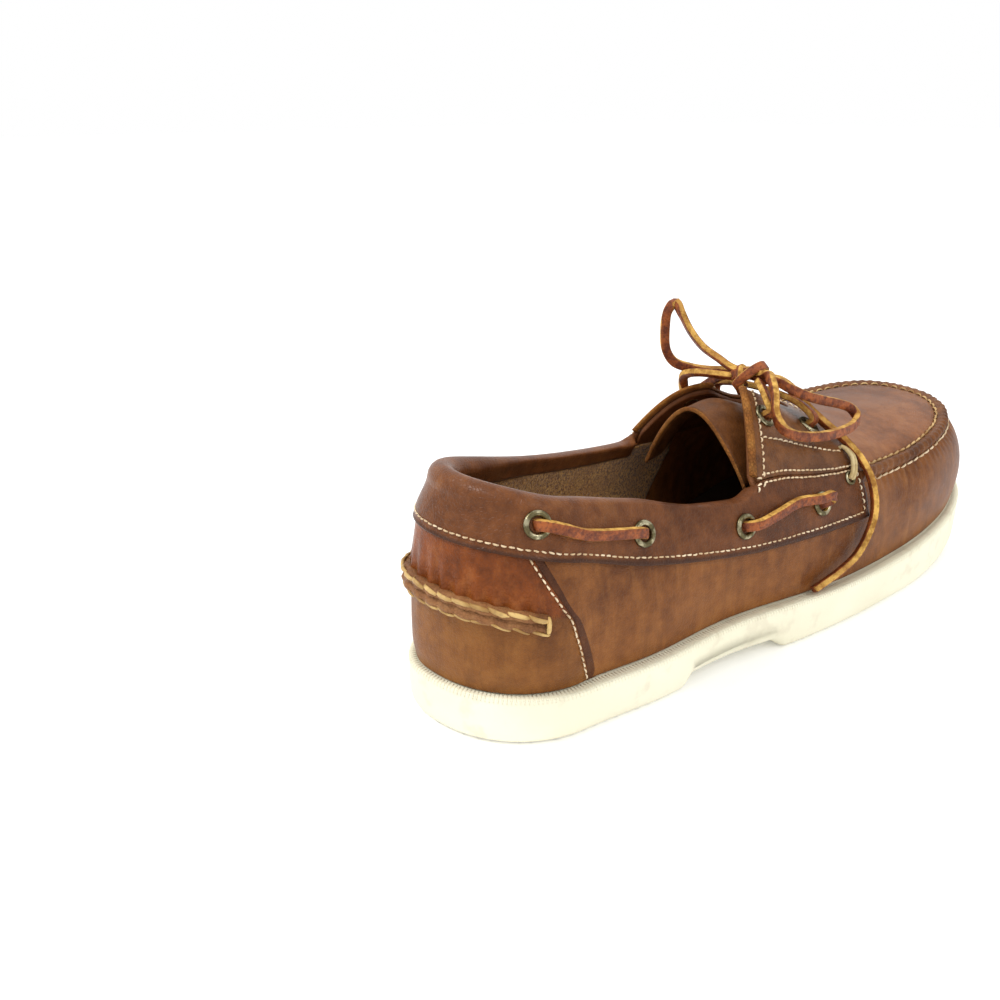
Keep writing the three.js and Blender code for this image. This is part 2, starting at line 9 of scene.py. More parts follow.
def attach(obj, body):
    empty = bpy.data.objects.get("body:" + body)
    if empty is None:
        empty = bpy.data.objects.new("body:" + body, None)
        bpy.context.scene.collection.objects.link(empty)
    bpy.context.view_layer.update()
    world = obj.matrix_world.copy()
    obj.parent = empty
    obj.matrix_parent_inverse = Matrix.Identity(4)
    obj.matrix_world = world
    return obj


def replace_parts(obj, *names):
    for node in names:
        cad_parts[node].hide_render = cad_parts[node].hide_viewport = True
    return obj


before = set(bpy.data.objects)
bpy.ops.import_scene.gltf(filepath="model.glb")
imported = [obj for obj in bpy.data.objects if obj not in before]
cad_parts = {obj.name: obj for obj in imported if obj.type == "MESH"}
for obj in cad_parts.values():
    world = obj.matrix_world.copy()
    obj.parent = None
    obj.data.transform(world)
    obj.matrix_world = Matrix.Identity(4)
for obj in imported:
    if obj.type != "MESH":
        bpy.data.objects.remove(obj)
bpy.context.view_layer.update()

# ==== Outsole ====================================================================================
# A cup sole moulded in one piece of cream rubber, cemented and stitched to the upper from inside. Its rim stands
# out as a ledge with fine ribs across it; below are a flat heel, a raised waist, and sipes cut for grip.
# Sizes are millimetres: y from the back of the sole, x from the middle of the heel, positive to the outer side.
LENGTH = 297.0
SHIFT = np.array([2.0, -LENGTH / 2, 0.0])     # from these sizes to the frame's origin
HEEL_ARC, TOE_ARC = 38.0, 205.0               # y where the heel's curve ends and the toe's begins
HEEL_POWER, TOE_POWER = 2.1, 2.35             # how square those curves are; 2 is an ellipse
OUTLINES = {"foot": (3.4, LENGTH - 2.8), "crest": (12.0, 272.0)}     # first and last y of each outline


class Table:
    """Rows of sizes against y, read off along a smooth curve."""

    def __init__(self, names, rows):
        self.columns = dict(zip(names.split(), np.array(rows, float).T))

    def __call__(self, name, y):
        ys, values = self.columns["y"], self.columns[name]
        step = np.diff(ys)
        slope = np.diff(values) / step
        tangent = np.zeros(len(ys))
        tangent[1:-1] = (slope[:-1] * step[1:] + slope[1:] * step[:-1]) / (ys[2:] - ys[:-2])
        i = np.clip(np.searchsorted(ys, y) - 1, 0, len(ys) - 2)
        t = np.clip((y - ys[i]) / step[i], 0, 1)
        start = values[i] * (1 + 2 * t) * (1 - t) ** 2 + tangent[i] * step[i] * t * (1 - t) ** 2
        return start + values[i + 1] * t * t * (3 - 2 * t) - tangent[i + 1] * step[i] * t * t * (1 - t)


# Half widths at the foot and at the crest of the upper, either side of the swept centre line.
SIDES = Table("y foot_out foot_in crest_out crest_in", [
    [38, 37.0, 24.5, 27.5, 23.0],
    [70, 39.2, 25.5, 29.5, 26.5],
    [105, 39.5, 27.5, 35.0, 29.4],
    [140, 44.5, 32.0, 38.3, 32.0],
    [175, 46.8, 41.0, 39.1, 33.5],
    [205, 46.8, 46.5, 37.2, 31.5],
])
# Heights of the sole's rim and of the crest, the wall's bulge, the collar band's lower edge and the ledge's width.
PROFILE = Table("y rim crest low high drop band ledge", [
    [0, 17.6, 84.5, 1.5, 6.0, 0.30, 0.71, 2.6],
    [12, 17.4, 83.8, 1.5, 6.5, 0.30, 0.71, 3.0],
    [38, 16.8, 77.5, 2.0, 7.5, 0.32, 0.68, 4.2],
    [65, 16.6, 70.4, 2.0, 8.0, 0.32, 0.62, 4.5],
    [95, 17.6, 65.6, 2.0, 7.5, 0.32, 0.56, 4.5],
    [125, 18.4, 62.6, 2.0, 7.5, 0.32, 0.52, 4.5],
    [172, 17.6, 61.0, 2.0, 8.5, 0.30, 0.51, 4.5],
    [207, 18.6, 59.0, 2.5, 11.0, 0.22, 0.51, 4.5],
    [240, 21.6, 61.5, 3.0, 14.0, 0.15, 0.51, 3.6],
    [297, 26.8, 66.5, 4.0, 15.0, 0.12, 0.51, 2.8],
])


def smooth(a, b, y):
    t = np.clip((np.asarray(y, float) - a) / (b - a), 0, 1)
    return t * t * (3 - 2 * t)


def sweep(y):
    return -7.0 * np.clip((np.asarray(y, float) - 60) / (LENGTH - 60), 0, None) ** 2


def ring(u, form, grow=0.0):
    """x and y round the shoe. u is 0 at the back of the heel, 3 at the tip of the toe and 6 at the back again."""
    u = np.asarray(u, float) % 6
    outer = u < 3
    w = np.where(outer, u, 6 - u)
    back, front = OUTLINES[form]

    def half(y):
        return np.where(outer, SIDES(form + "_out", y), SIDES(form + "_in", y)) + grow

    heel = np.clip(w, 0, 1) * math.pi / 2
    toe = np.clip(w - 2, 0, 1) * math.pi / 2
    side_y = HEEL_ARC + (TOE_ARC - HEEL_ARC) * np.clip(w - 1, 0, 1)
    x = np.where(w <= 2, half(side_y), half(TOE_ARC) * np.abs(np.cos(toe)) ** (2 / TOE_POWER))
    x = np.where(w < 1, half(HEEL_ARC) * np.sin(heel) ** (2 / HEEL_POWER), x)
    y = np.where(w <= 2, side_y, TOE_ARC + (front - TOE_ARC + grow) * np.sin(toe) ** (2 / TOE_POWER))
    y = np.where(w < 1, HEEL_ARC - (HEEL_ARC - back + grow) * np.cos(heel) ** (2 / HEEL_POWER), y)
    return np.where(outer, x, -x) + sweep(y), y


def run_of(line):
    """Distance along a line of points."""
    return np.concatenate([[0], np.cumsum(np.linalg.norm(np.diff(line, axis=0), axis=-1))])


ROUND_U = np.linspace(-6, 12, 18001)
ROUND_S = run_of(np.stack(ring(ROUND_U, "foot"), -1))
ROUND_S -= np.interp(0, ROUND_U, ROUND_S)
GIRTH = float(np.interp(6, ROUND_U, ROUND_S))      # all the way round the foot of the upper


def u_at(s):
    """u at a distance round the foot of the upper, from the back of the heel."""
    return np.interp(s, ROUND_S, ROUND_U)


def s_at(u):
    return np.interp(u, ROUND_U, ROUND_S)


def underside(y):
    arch = 4.5 * smooth(80, 86, y) * (1 - smooth(126, 134, y))
    return arch + 9.0 * np.clip((y - 218) / (LENGTH - 218), 0, None) ** 1.6


def placed(name, data):
    """An object of the data, in the scene."""
    made = bpy.data.objects.new(name, data)
    bpy.context.scene.collection.objects.link(made)
    return made


def solid(name, points, faces, material, flat=(), uvs=(), merge=1e-6):
    """A piece with smooth faces and flat ones, from points in millimetres. Points that lie together are merged."""
    mesh = bpy.data.meshes.new(name)
    mesh.from_pydata(((points.reshape(-1, 3) + SHIFT) / 1000).tolist(), [], [*faces, *flat])
    mesh.polygons.foreach_set("use_smooth", [True] * len(faces) + [False] * len(flat))
    mesh.materials.append(material)
    if uvs:
        layer = mesh.uv_layers.new(name="run")
        for n, uv in enumerate(uvs):
            layer.data[n].uv = uv
    work = bmesh.new()
    work.from_mesh(mesh)
    bmesh.ops.remove_doubles(work, verts=work.verts, dist=merge)
    bmesh.ops.recalc_face_normals(work, faces=work.faces)
    work.to_mesh(mesh)
    work.free()
    piece = placed(name, mesh)
    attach(piece, "root")
    return piece


def skin(name, rows, material, loop=False, skip=None, uv=None):
    """A closed piece swept through stations. rows is stations x section points x 3, each section closes on itself, and
    skip marks points between which no face is made."""
    stations, count = rows.shape[:2]
    faces, flat, uvs = [], (), []
    for i in range(stations if loop else stations - 1):
        j = (i + 1) % stations
        for k in range(count):
            if skip is not None and skip[i, k] and skip[j, k]:
                continue
            m = (k + 1) % count
            faces.append((i * count + k, j * count + k, j * count + m, i * count + m))
            if uv:
                uvs += [(uv[0][a], uv[1][b]) for a, b in ((i, k), (i + 1, k), (i + 1, k + 1), (i, k + 1))]
    if not loop:
        flat = [tuple(range(count - 1, -1, -1)), tuple((stations - 1) * count + k for k in range(count))]
    return solid(name, rows, faces, material, flat, uvs)


def many(name, points, faces, material):
    """One mesh of many like small things: points is things x corners x 3, and faces index one thing's corners."""
    count, corners = points.shape[:2]
    every = [tuple(c + n * corners for c in face) for n in range(count) for face in faces]
    return solid(name, points, every, material, merge=1e-9)


class Amount:
    """A shader value that takes part in sums: each sum adds its Math node."""

    def __init__(self, finish, socket):
        self.finish, self.socket = finish, socket

    def sum(self, operation, *values):
        return self.finish.node("ShaderNodeMath", {"operation": operation}, dict(enumerate(values)))

    def __add__(self, other):
        return self.sum("ADD", self, other)

    def __sub__(self, other):
        return self.sum("SUBTRACT", self, other)

    def __rsub__(self, other):
        return self.sum("SUBTRACT", other, self)

    def __mul__(self, other):
        return self.sum("MULTIPLY", self, other)

    def __lt__(self, other):
        return self.sum("LESS_THAN", self, other)

    __radd__, __rmul__ = __add__, __mul__

    def zigzag(self, half):
        """Up and down between 0 and half, one way over each half."""
        return self.sum("PINGPONG", self, half)

    def band(self, low, high):
        """0 below low, 1 above high, and smooth between them."""
        return self.finish.node("ShaderNodeMapRange", {"interpolation_type": "SMOOTHSTEP"},
                                {"Value": self, "From Min": low, "From Max": high})


class Finish:
    """One material being mixed: node() adds a node, and sets its settings and then its sockets."""

    def __init__(self, name):
        self.material = bpy.data.materials.new(name)
        self.material.use_nodes = True
        self.tree = self.material.node_tree
        self.tree.nodes.clear()

    def node(self, kind, settings=None, values=None, output=0):
        made = self.tree.nodes.new(kind)
        for key, setting in (settings or {}).items():
            setattr(made, key, setting)
        for key, value in (values or {}).items():
            if isinstance(value, Amount):
                self.tree.links.new(value.socket, made.inputs[key])
            else:
                made.inputs[key].default_value = value
        return Amount(self, made.outputs[output]) if made.outputs else made

    def place(self, stretch=(1, 1, 1)):
        spot = self.node("ShaderNodeTexCoord", output="Object")
        return self.node("ShaderNodeVectorMath", {"operation": "MULTIPLY"}, {0: spot, 1: stretch})

    def part(self, spot, axis):
        return self.node("ShaderNodeSeparateXYZ", {}, {"Vector": spot}, output=axis)

    def noise(self, scale, detail=3.0, stretch=(1, 1, 1), roughness=0.5):
        return self.node("ShaderNodeTexNoise", {}, {
            "Vector": self.place(stretch), "Scale": scale, "Detail": detail, "Roughness": roughness})

    def mix(self, share, a, b, blend="MIX"):
        return self.node("ShaderNodeMix", {"data_type": "RGBA", "blend_type": blend}, {0: share, 6: a, 7: b}, output=2)

    def bump(self, height, distance, under=None):
        below = {} if under is None else {"Normal": under}
        return self.node("ShaderNodeBump", {}, {"Height": height, "Distance": distance, "Strength": 1.0, **below})

    def shader(self, **values):
        surface = self.node("ShaderNodeBsdfPrincipled", {}, {k.replace("_", " "): v for k, v in values.items()})
        self.node("ShaderNodeOutputMaterial", {}, {"Surface": surface})
        return self.material


def paint(red, green, blue):
    """A colour as painters' charts give it, 0 to 255."""
    shares = (c / 255 for c in (red, green, blue))
    return *(c / 12.92 if c < 11 / 255 else ((c + 0.055) / 1.055) ** 2.4 for c in shares), 1.0


def cream_rubber():
    f = Finish("cream_rubber")
    cloud = f.noise(22, 4)
    colour = f.mix(cloud.band(0.35, 0.7), paint(238, 234, 211), paint(230, 225, 200))
    grime = f.noise(160, 5) * f.noise(14, 2)
    colour = f.mix(grime.band(0.30, 0.42) * 0.25, colour, paint(190, 176, 150))
    # Razor-cut zigzag slits across the underside, which open as the sole bends. Each is a dent in the bump, and its
    # dark line is painted shade inside the cut.
    down = f.part(f.node("ShaderNodeNewGeometry", output="Normal"), "Z") < -0.8
    wave = f.part(f.place(), "Y") + f.part(f.place(), "X").zigzag(0.004)
    slit = (1 - wave.zigzag(0.0025).band(0.0001, 0.0004)) * down * (f.part(f.place(), "Z") < 0.0025)
    # painted shade along the cuts
    colour = f.mix(slit * 0.7, colour, paint(120, 108, 86))
    pores = f.bump(f.noise(1500, 2) - slit * 5, 0.00008)
    return f.shader(Base_Color=colour, Roughness=f.noise(40, 3) * 0.12 + 0.52, Normal=pores, Specular_IOR_Level=0.4)


RUBBER = cream_rubber()
ROUND = u_at(np.linspace(0, GIRTH, 641)[:-1])


def sole_edge(u):
    """Section points of the sole at u: across the ledge, down the side, round the lower edge and in to the middle."""
    y0 = ring(u, "foot")[1]
    ledge, rim = PROFILE("ledge", y0), PROFILE("rim", y0)
    side = [(-9, 0, 0), (0, 0, 0), (1, -1.0, 0), (1, -0.3, 0.15), (1, 0, 0.8), (1, 0.25, 4.5), (1, 0.3, 9)]
    points = []
    for share, out, down in side:
        x, y = ring(u, "foot", ledge * share + out if share > 0 else share + 0 * ledge)
        points.append(np.stack([x, y, rim - down], -1))
    for out, up in [(0.1, 5.0), (-0.4, 2.6), (-1.3, 1.1), (-2.4, 0.3), (-3.8, 0), (-12, 0)]:
        x, y = ring(u, "foot", ledge + out)
        points.append(np.stack([x, y, underside(y) + up], -1))
    middle = np.clip(y0, HEEL_ARC, TOE_ARC)
    points.append(np.stack([sweep(middle), middle, underside(middle)], -1))
    points.append(np.stack([sweep(middle), middle, PROFILE("rim", middle) - 0.3], -1))
    return np.stack(points, 1)


outsole = skin("outsole_rubber", sole_edge(ROUND), RUBBER, loop=True)
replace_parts(outsole, "outsole")


def sole_ribs(pitch=1.3, half=0.34, height=0.34):
    """Fine ribs across the ledge and a little way down its edge."""
    s = np.arange(0, GIRTH, pitch)
    runs = []
    for side in (-half, 0, half):
        u = u_at(s + side)
        y0 = ring(u, "foot")[1]
        ledge, rim = PROFILE("ledge", y0), PROFILE("rim", y0)
        lift = height if side == 0 else -0.2
        for share, out, up in [(0, 0.4, lift), (1, -0.5, lift), (1, lift * 0.6, -0.3), (1, lift * 0.8, -1.5)]:
            x, y = ring(u, "foot", ledge * share + out)
            runs.append(np.stack([x, y, rim + up], -1))
    faces = [(k, k + 1, k + 5, k + 4) for k in (0, 1, 2, 4, 5, 6)]
    faces += [(0, 4, 8), (3, 11, 7), (0, 8, 9, 1), (1, 9, 10, 2), (2, 10, 11, 3)]
    return many("outsole_ledge_ribs", np.stack(runs, 1), faces, RUBBER)


sole_ribs()

# ==== Insole =====================================================================================
# A leather-covered footbed cemented over the edge of the upper that is turned in under the foot.
def dark_footbed():
    f = Finish("dark_footbed")
    fuzz = f.noise(700, 4)
    colour = f.mix(f.noise(30, 3).band(0.3, 0.7), paint(52, 36, 26), paint(74, 52, 36))
    return f.shader(Base_Color=colour, Roughness=0.9, Normal=f.bump(fuzz, 0.0002), Specular_IOR_Level=0.2)


def footbed(u):
    points = []
    for inset, up in [(-3.3, 2.6), (-3.3, 4.8), (-4.0, 5.5), (-9, 5.4), (-16, 5.2)]:
        x, y = ring(u, "foot", inset)
        points.append(np.stack([x, y, PROFILE("rim", y) + up], -1))
    middle = np.clip(ring(u, "foot")[1], HEEL_ARC, TOE_ARC)
    for up in (5.0, 2.6):
        points.append(np.stack([sweep(middle), middle, PROFILE("rim", middle) + up], -1))
    return np.stack(points, 1)


insole = skin("insole_footbed", footbed(ROUND[::2]), dark_footbed(), loop=True)
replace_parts(insole, "insole")

# ==== Vamp and quarters ==========================================================================
# The moccasin's side wall: oiled leather wrapped up from under the foot, round the toe and along both sides.
# Round the toe its top edge is gathered by the seam, so that short upright puckers run down from it.
GAP, WALL, OVERLAY = 0.3, 2.0, 1.4     # clear of the sole, thickness of the wall, and of a piece laid on it
SPINE = Table("y z", [
    [105, 94], [137, 94.5], [150, 88.5], [160, 83], [172, 77.5], [190, 71.5], [207, 68], [240, 66], [297, 66],
])


def crest_y(u):
    return ring(u, "crest")[1]


def at_side(u, pair):
    """The outer or the inner one of a pair of sizes, as u is on the one side or the other."""
    return np.where(np.asarray(u) % 6 < 3, *pair)


def unit(way):
    return way / np.linalg.norm(way, axis=-1, keepdims=True)


def outward(u):
    x0, y0 = ring(u - 1e-3, "foot", 2)
    x1, y1 = ring(u + 1e-3, "foot", 2)
    size = np.hypot(x1 - x0, y1 - y0)
    return (y1 - y0) / size, -(x1 - x0) / size


def crest_at(u, depth=0.0):
    """The crest: topline along the collar, then the toe seam. depth runs inwards, and negative depth is proud."""
    x, y = ring(u, "crest")
    out_x, out_y = outward(u)
    lean = 0.7 * smooth(112, 137, y)
    level = np.sqrt(1 - lean * lean)
    return np.stack([x - out_x * depth * level, y - out_y * depth * level, PROFILE("crest", y) - depth * lean], -1)


def wall_at(u, v, depth=0.0):
    out_x, out_y = outward(u)
    x, y = ring(u, "foot")
    y = y - out_y * depth
    foot = np.stack([x - out_x * depth, y, PROFILE("rim", y) + GAP], -1)
    crest = crest_at(u, depth)
    rise = crest[..., 2] - foot[..., 2]
    low, high, drop = (PROFILE(name, crest[..., 1]) for name in ("low", "high", "drop"))
    bulge = foot + np.stack([out_x * low, out_y * low, 0.38 * rise], -1)
    shoulder = crest + np.stack([out_x * high, out_y * high, -drop * rise], -1)
    v = v[..., None]
    return foot * (1 - v) ** 3 + 3 * bulge * v * (1 - v) ** 2 + 3 * shoulder * v * v * (1 - v) + crest * v**3


def top_at(u, rho, depth=0.0):
    crest = crest_at(u, depth)
    core = np.minimum(crest_y(u), TOE_ARC)
    x = sweep(core) + (crest[..., 0] - sweep(core)) * rho
    y = core + (crest[..., 1] - core) * rho
    return np.stack([x, y, SPINE("z", y) - depth + (crest[..., 2] - SPINE("z", crest[..., 1]) + depth) * rho**2], -1)


def surface(u, v, depth=0.0):
    """A point of the upper: v is 0 at the sole, 1 at the crest, and 2 on the middle line over the instep and toe."""
    u, v, depth = np.broadcast_arrays(np.asarray(u, float), np.asarray(v, float), np.asarray(depth, float))
    wall = wall_at(u, np.minimum(v, 1), depth)
    return np.where((v <= 1)[..., None], wall, top_at(u, np.clip(2 - v, 0, 1), depth))


def facing(u, v, depth=0.0):
    """The upper's outward direction."""
    u, v = np.broadcast_arrays(np.asarray(u, float), np.asarray(v, float))
    along = surface(u + 0.004, v, depth) - surface(u - 0.004, v, depth)
    up = surface(u, v + 0.004, depth) - surface(u, v - 0.004, depth)
    return unit(np.cross(along, up))


def spread(a, b, count, edge):
    """Steps from a to b with two short ones at each end, where the leather's edge is rounded."""
    a, b = np.asarray(a, float), np.asarray(b, float)
    inner = np.linspace(0, 1, count)[None, :] * (b - a - 2 * edge)[..., None] + (a + edge)[..., None]
    ends = [a, a + 0.3 * edge, b - 0.3 * edge, b]
    return np.concatenate([np.stack(ends[:2], -1), inner, np.stack(ends[2:], -1)], -1)


def leaf(u, v, outer, inner, ends=(True, True), joined=False):
    """Sections of a leather layer over stations u and rows v, between two depths, with rounded edges all round. A
    joined one goes on without an edge where it reaches the middle line."""
    u, v = np.broadcast_arrays(u if u.ndim == 2 else u[:, None], v)
    rows = np.zeros(v.shape)
    rows[:, [0, -1]], rows[:, [1, -2]] = 0.5, 0.16
    if joined:
        rows[v[:, -1] >= 2, -2:] = 0
    stations = np.zeros(v.shape[0])
    if ends[0]:
        stations[:2] = 0.5, 0.16
    if ends[1]:
        stations[-2:] = 0.16, 0.5
    thin = np.maximum(rows, stations[:, None])
    outer = outer + (inner - outer) * thin
    inner = np.broadcast_to(inner, v.shape)
    return np.concatenate([surface(u, v, outer), surface(u, v, inner)[:, ::-1]], 1)


OIL_CAST = (0.95, 0.83, 0.53, 1)              # how the oil warms and darkens the dye


def leather(name, dark, main, pale, shine=0.42, grain=0.00012, streaks=0.35, crease=0.0, edge_tone_and_shade=False, wear_and_painted_side_light=False):
    """Oiled leather: clouded colour, pale rubbed streaks that run down, fine grain, and a soft uneven shine. Asked to,
    it is darker along its folded edge, at the start of its section: the edge's own darker tone with painted shade under
    the roll;
    and asked to, it carries painted light across x, paler on its outer side and painted shade on its inner side."""
    f = Finish(name)
    dark, main, pale = paint(*dark), paint(*main), paint(*pale)
    cloud = f.noise(26, 4, roughness=0.6)
    mottle = f.noise(170, 5, roughness=0.65)
    streak = f.noise(22, 6, (7, 7, 1.0), 0.65)
    colour = f.mix((cloud * 0.6 + mottle * 0.4).band(0.34, 0.57) * 0.95 + 0.05, dark, main)
    colour = f.mix(streak.band(0.48, 0.72) * streaks, colour, pale)
    brushed = f.noise(210, 5, (1, 1, 0.16), 0.7)
    colour = f.mix(brushed.band(0.42, 0.66) * 0.32, colour, dark)
    colour = f.mix((mottle * cloud).band(0.27, 0.38) * 0.25, colour, pale)
    scuff = f.noise(420, 4, (1, 1, 0.35), 0.7)
    colour = f.mix(scuff.band(0.58, 0.74) * 0.3, colour, dark)
    colour = f.mix(1.0, colour, OIL_CAST, "MULTIPLY")
    if edge_tone_and_shade:
        # Painted shade along the rolled edge at the start of the section, over the edge's own darker tone.
        share = f.part(f.node("ShaderNodeUVMap", {"uv_map": "run"}), "Y")
        fold = 1 - (share + mottle * 0.03).band(0.075, 0.15)
        colour = f.mix(fold * 0.72, colour, paint(48, 28, 20))
    if wear_and_painted_side_light:
        # Painted light across x: the outer side is painted paler and bluer as if lit, and the inner side is painted in
        # shade.
        across = (f.part(f.place(), "X") + cloud * 0.01).band(-0.025, 0.035)
        colour = f.mix(1.0, colour, f.mix(across, (0.60, 0.55, 0.50, 1), (1.22, 1.28, 1.42, 1)), "MULTIPLY")
    cells = f.node("ShaderNodeTexVoronoi", {"feature": "DISTANCE_TO_EDGE"}, {"Vector": f.place(), "Scale": 780.0})
    pores = cells.band(0.0, 0.12) * 0.6 + f.noise(1300, 2) * 0.6
    normal = f.bump(pores, grain)
    folds = f.noise(34, 4, (1, 1, 2.2), 0.55) * 0.8 + f.noise(120, 3) * 0.2
    normal = f.bump(folds, 0.0009 + crease, normal)
    rough = f.noise(55, 4) * 0.22 + mottle * 0.14 + (shine - 0.19)
    return f.shader(Base_Color=colour, Roughness=rough, Normal=normal, Specular_IOR_Level=0.18)


BROWN = leather("brown_leather", (88, 50, 26), (131, 85, 50), (160, 114, 74), 0.44)
THROAT_START, THROAT_CORNER = (117.0, 124.0), (137.0, 150.0)      # outer side, inner side
BAND_FRONT = 177.0           # where the collar band ends
PUCKER_PITCH = 4.6
TOE_FROM = 184.0             # where the gathered seam starts, on either side


def toe_seam_v(u):
    """v of the toe seam's middle: below the crest on the outer side, and nearer it round the toe and inner side."""
    return np.interp(u, [0, 2.4, 3.0, 3.7, 6], [0.895, 0.895, 0.925, 0.975, 0.975])


def puckers(u):
    """The in and out of the gathered leather, once over each stitch of the toe seam."""
    return np.cos(2 * math.pi * s_at(u) / PUCKER_PITCH + 0.7 * np.sin(s_at(u) / 11.0))


def gathers(u, v, centre, reach, amount):
    """How far short upright puckers push the leather in and out, along a seam at v = centre."""
    y = surface(u, v)[..., 1]
    wave = puckers(u)
    fade = np.where(v < centre, np.exp(-(((v - centre) / reach) ** 2)), 1)
    return amount * wave * fade * smooth(TOE_FROM - 8, TOE_FROM + 12, y)


def band_top(u):
    """v of the band's top edge: the topline, which dips on the outer side, then the seam under the eyestay."""
    y = crest_y(u)
    dip = at_side(u, (-0.06, 0)) * smooth(66, 92, y) * (1 - smooth(108, 121, y))
    start = at_side(u, THROAT_START)
    return 1 + dip + 0.05 * smooth(start - 5, start + 6, y) - 0.085 * smooth(start + 6, BAND_FRONT, y)


def vamp():
    y = crest_y(ROUND)
    top = 1 - (1.03 - band_top(ROUND)) * (y < THROAT_START[0]) * at_side(ROUND, (1, 0))
    top = np.where(y < 60, 0.84, np.minimum(top, 1))      # lower under the heel's pad
    v = spread(np.zeros(len(ROUND)), top, 44, 0.01)
    u = np.broadcast_to(ROUND[:, None], v.shape)
    rough_shape = 0.25 * np.sin(s_at(u) / 17.0 + 4 * v) * np.sin(3.1 * v) + 0.16 * np.sin(s_at(u) / 7.3 - 6 * v)
    outer = gathers(u, v, toe_seam_v(u) - 0.06, 0.12, 0.42) + rough_shape * smooth(0, 0.15, v)
    outer = outer + 1.0 * smooth(0, 0.02, v - toe_seam_v(u)) * smooth(178, 186, surface(u, v)[..., 1])
    piece = skin("vamp_and_quarters", leaf(u, v, outer, WALL, (False, False)), BROWN, loop=True)
    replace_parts(piece, "upper")


vamp()

# ==== Plug =======================================================================================
# The top of the forefoot: a smooth panel of the same leather, sewn into the gathered wall, that runs back under the
# eyestay and splits into the two sides of the throat.
THROAT_HALF, THROAT_ROUND, THROAT_END = 13.0, 164.0, 174.0
EYESTAY_FRONT = 180.0
TO_MIDDLE = 2 - np.linspace(0.02, 0, 4)       # v of the last rows where leather reaches the middle line


def edge_v(u):
    """v of the top edge: topline, then the eyestay's back edge, the slot of the throat, and the middle line."""
    x, y = ring(u, "crest")
    half = np.abs(x - sweep(y))
    start, corner = at_side(u, THROAT_START), at_side(u, THROAT_CORNER)
    slant = 1 + (THROAT_HALF / half - 1) * (y - start) / (corner - start)
    turn = np.clip((y - THROAT_ROUND) / (THROAT_END - THROAT_ROUND), 0, 1)
    slot = THROAT_HALF / half * np.sqrt(1 - turn * turn)
    return 2 - np.where(y <= start, 1, np.where(y < corner, slant, slot))


def u_of_y(y):
    return 1 + (y - HEEL_ARC) / (TOE_ARC - HEEL_ARC)


def plug():
    w = np.concatenate([u_of_y(np.arange(118, TOE_ARC, 1.5)), np.linspace(2, 3, 90)])
    u = np.concatenate([w, 6 - w[-2::-1]])
    u = u[edge_v(u) > 1.05]
    y = surface(u, 1.0)[..., 1]
    low = 1 + (toe_seam_v(u) + 0.045 - 1) * smooth(176, 184, y)
    v = spread(low, edge_v(u), 30, 0.01)
    v[edge_v(u) >= 2, -4:] = TO_MIDDLE
    over = smooth(182, 200, surface(u[:, None], v)[..., 1])
    rise = (v - low[:, None]) / 0.11
    puffed = -0.1 * smooth(176, 184, y)[:, None] - 0.55 * np.sin(np.clip(rise * 1.2, 0, math.pi)) * over
    sag = 0.28 * np.sin(s_at(u)[:, None] / 24.0 + 3 * v) * np.sin(math.pi * (v - 1)) * over
    rows = leaf(u, v, puffed + sag, WALL, joined=True)
    middle = np.zeros(rows.shape[:2], bool)
    middle[:, v.shape[1] - 1] = edge_v(u) >= 2
    piece = skin("plug", rows, PLUG_LEATHER, skip=middle)


# The plug's leather carries painted light: paler on its outer side, with painted shade on its inner side.
PLUG_LEATHER = leather("plug_leather", (92, 56, 38), (128, 84, 60), (156, 112, 84), 0.4, streaks=0.12,
                       wear_and_painted_side_light=True)
plug()

# ==== Lining =====================================================================================
# The quarters are lined with unfinished golden suede, from the footbed up to the fold of the collar.
def suede():
    f = Finish("golden_suede")
    nap = f.noise(1100, 6, roughness=0.7)
    patch = f.noise(120, 4)
    colour = f.mix(nap.band(0.38, 0.62), paint(96, 58, 20), paint(196, 144, 74))
    colour = f.mix(patch.band(0.35, 0.7) * 0.5, colour, paint(140, 92, 42))
    return f.shader(Base_Color=colour, Roughness=0.95, Normal=f.bump(nap, 0.0006), Sheen_Weight=0.3,
                    Specular_IOR_Level=0.15)


def lining():
    back = s_at(u_of_y(140))
    front = s_at(6 - u_of_y(152)) - GIRTH
    reach = np.linspace(front, back, 240)[:, None]
    v = spread(np.full(240, 0.09), band_top(u_at(reach[:, 0])) - 0.06, 24, 0.01)
    u = u_at(reach * (0.86 + 0.14 * smooth(0.1, 0.8, v)))
    sag = 0.3 * np.sin(s_at(u) / 8.0 + 6 * v)
    piece = skin("quarter_lining", leaf(u, v, WALL + 0.7 + sag * 0.5, WALL + 0.05), suede())


lining()

# ==== Heel counter ===============================================================================
# The back of the quarters is closed by two overlaid pieces, one above and one below the raised heel seam. Each is
# sewn down along a slanting row of fine thread just behind its front edge, on both sides.
PUCKERED = leather("heel_leather", (70, 34, 14), (126, 68, 30), (170, 112, 70), 0.34, crease=0.0005)
BOTH = ("outer", "inner")
COUNTER_ROW = ([0, 0.373, 0.636, 0.74], s_at(np.array([1.01, 0.914, 0.725, 0.65])))   # v, and distance round
COUNTER_MARGIN = 1.3                         # leather in front of the row of stitches
STRIP_WIDTH = 3.4                            # the skived edge in front of that, coloured dark as painted shade
HEEL_SEAM_HALF = 0.78                        # u where the heel seam stops, either side of the back
HEEL_PITCH = 6.2                             # from stitch to stitch of that seam


def seam_v(u):
    """v of the heel seam, which sags a little in the middle of its run on either side."""
    return 0.42 - 0.045 * (u / HEEL_SEAM_HALF) ** 2


def counter_front(v):
    return np.interp(v, *COUNTER_ROW) + COUNTER_MARGIN


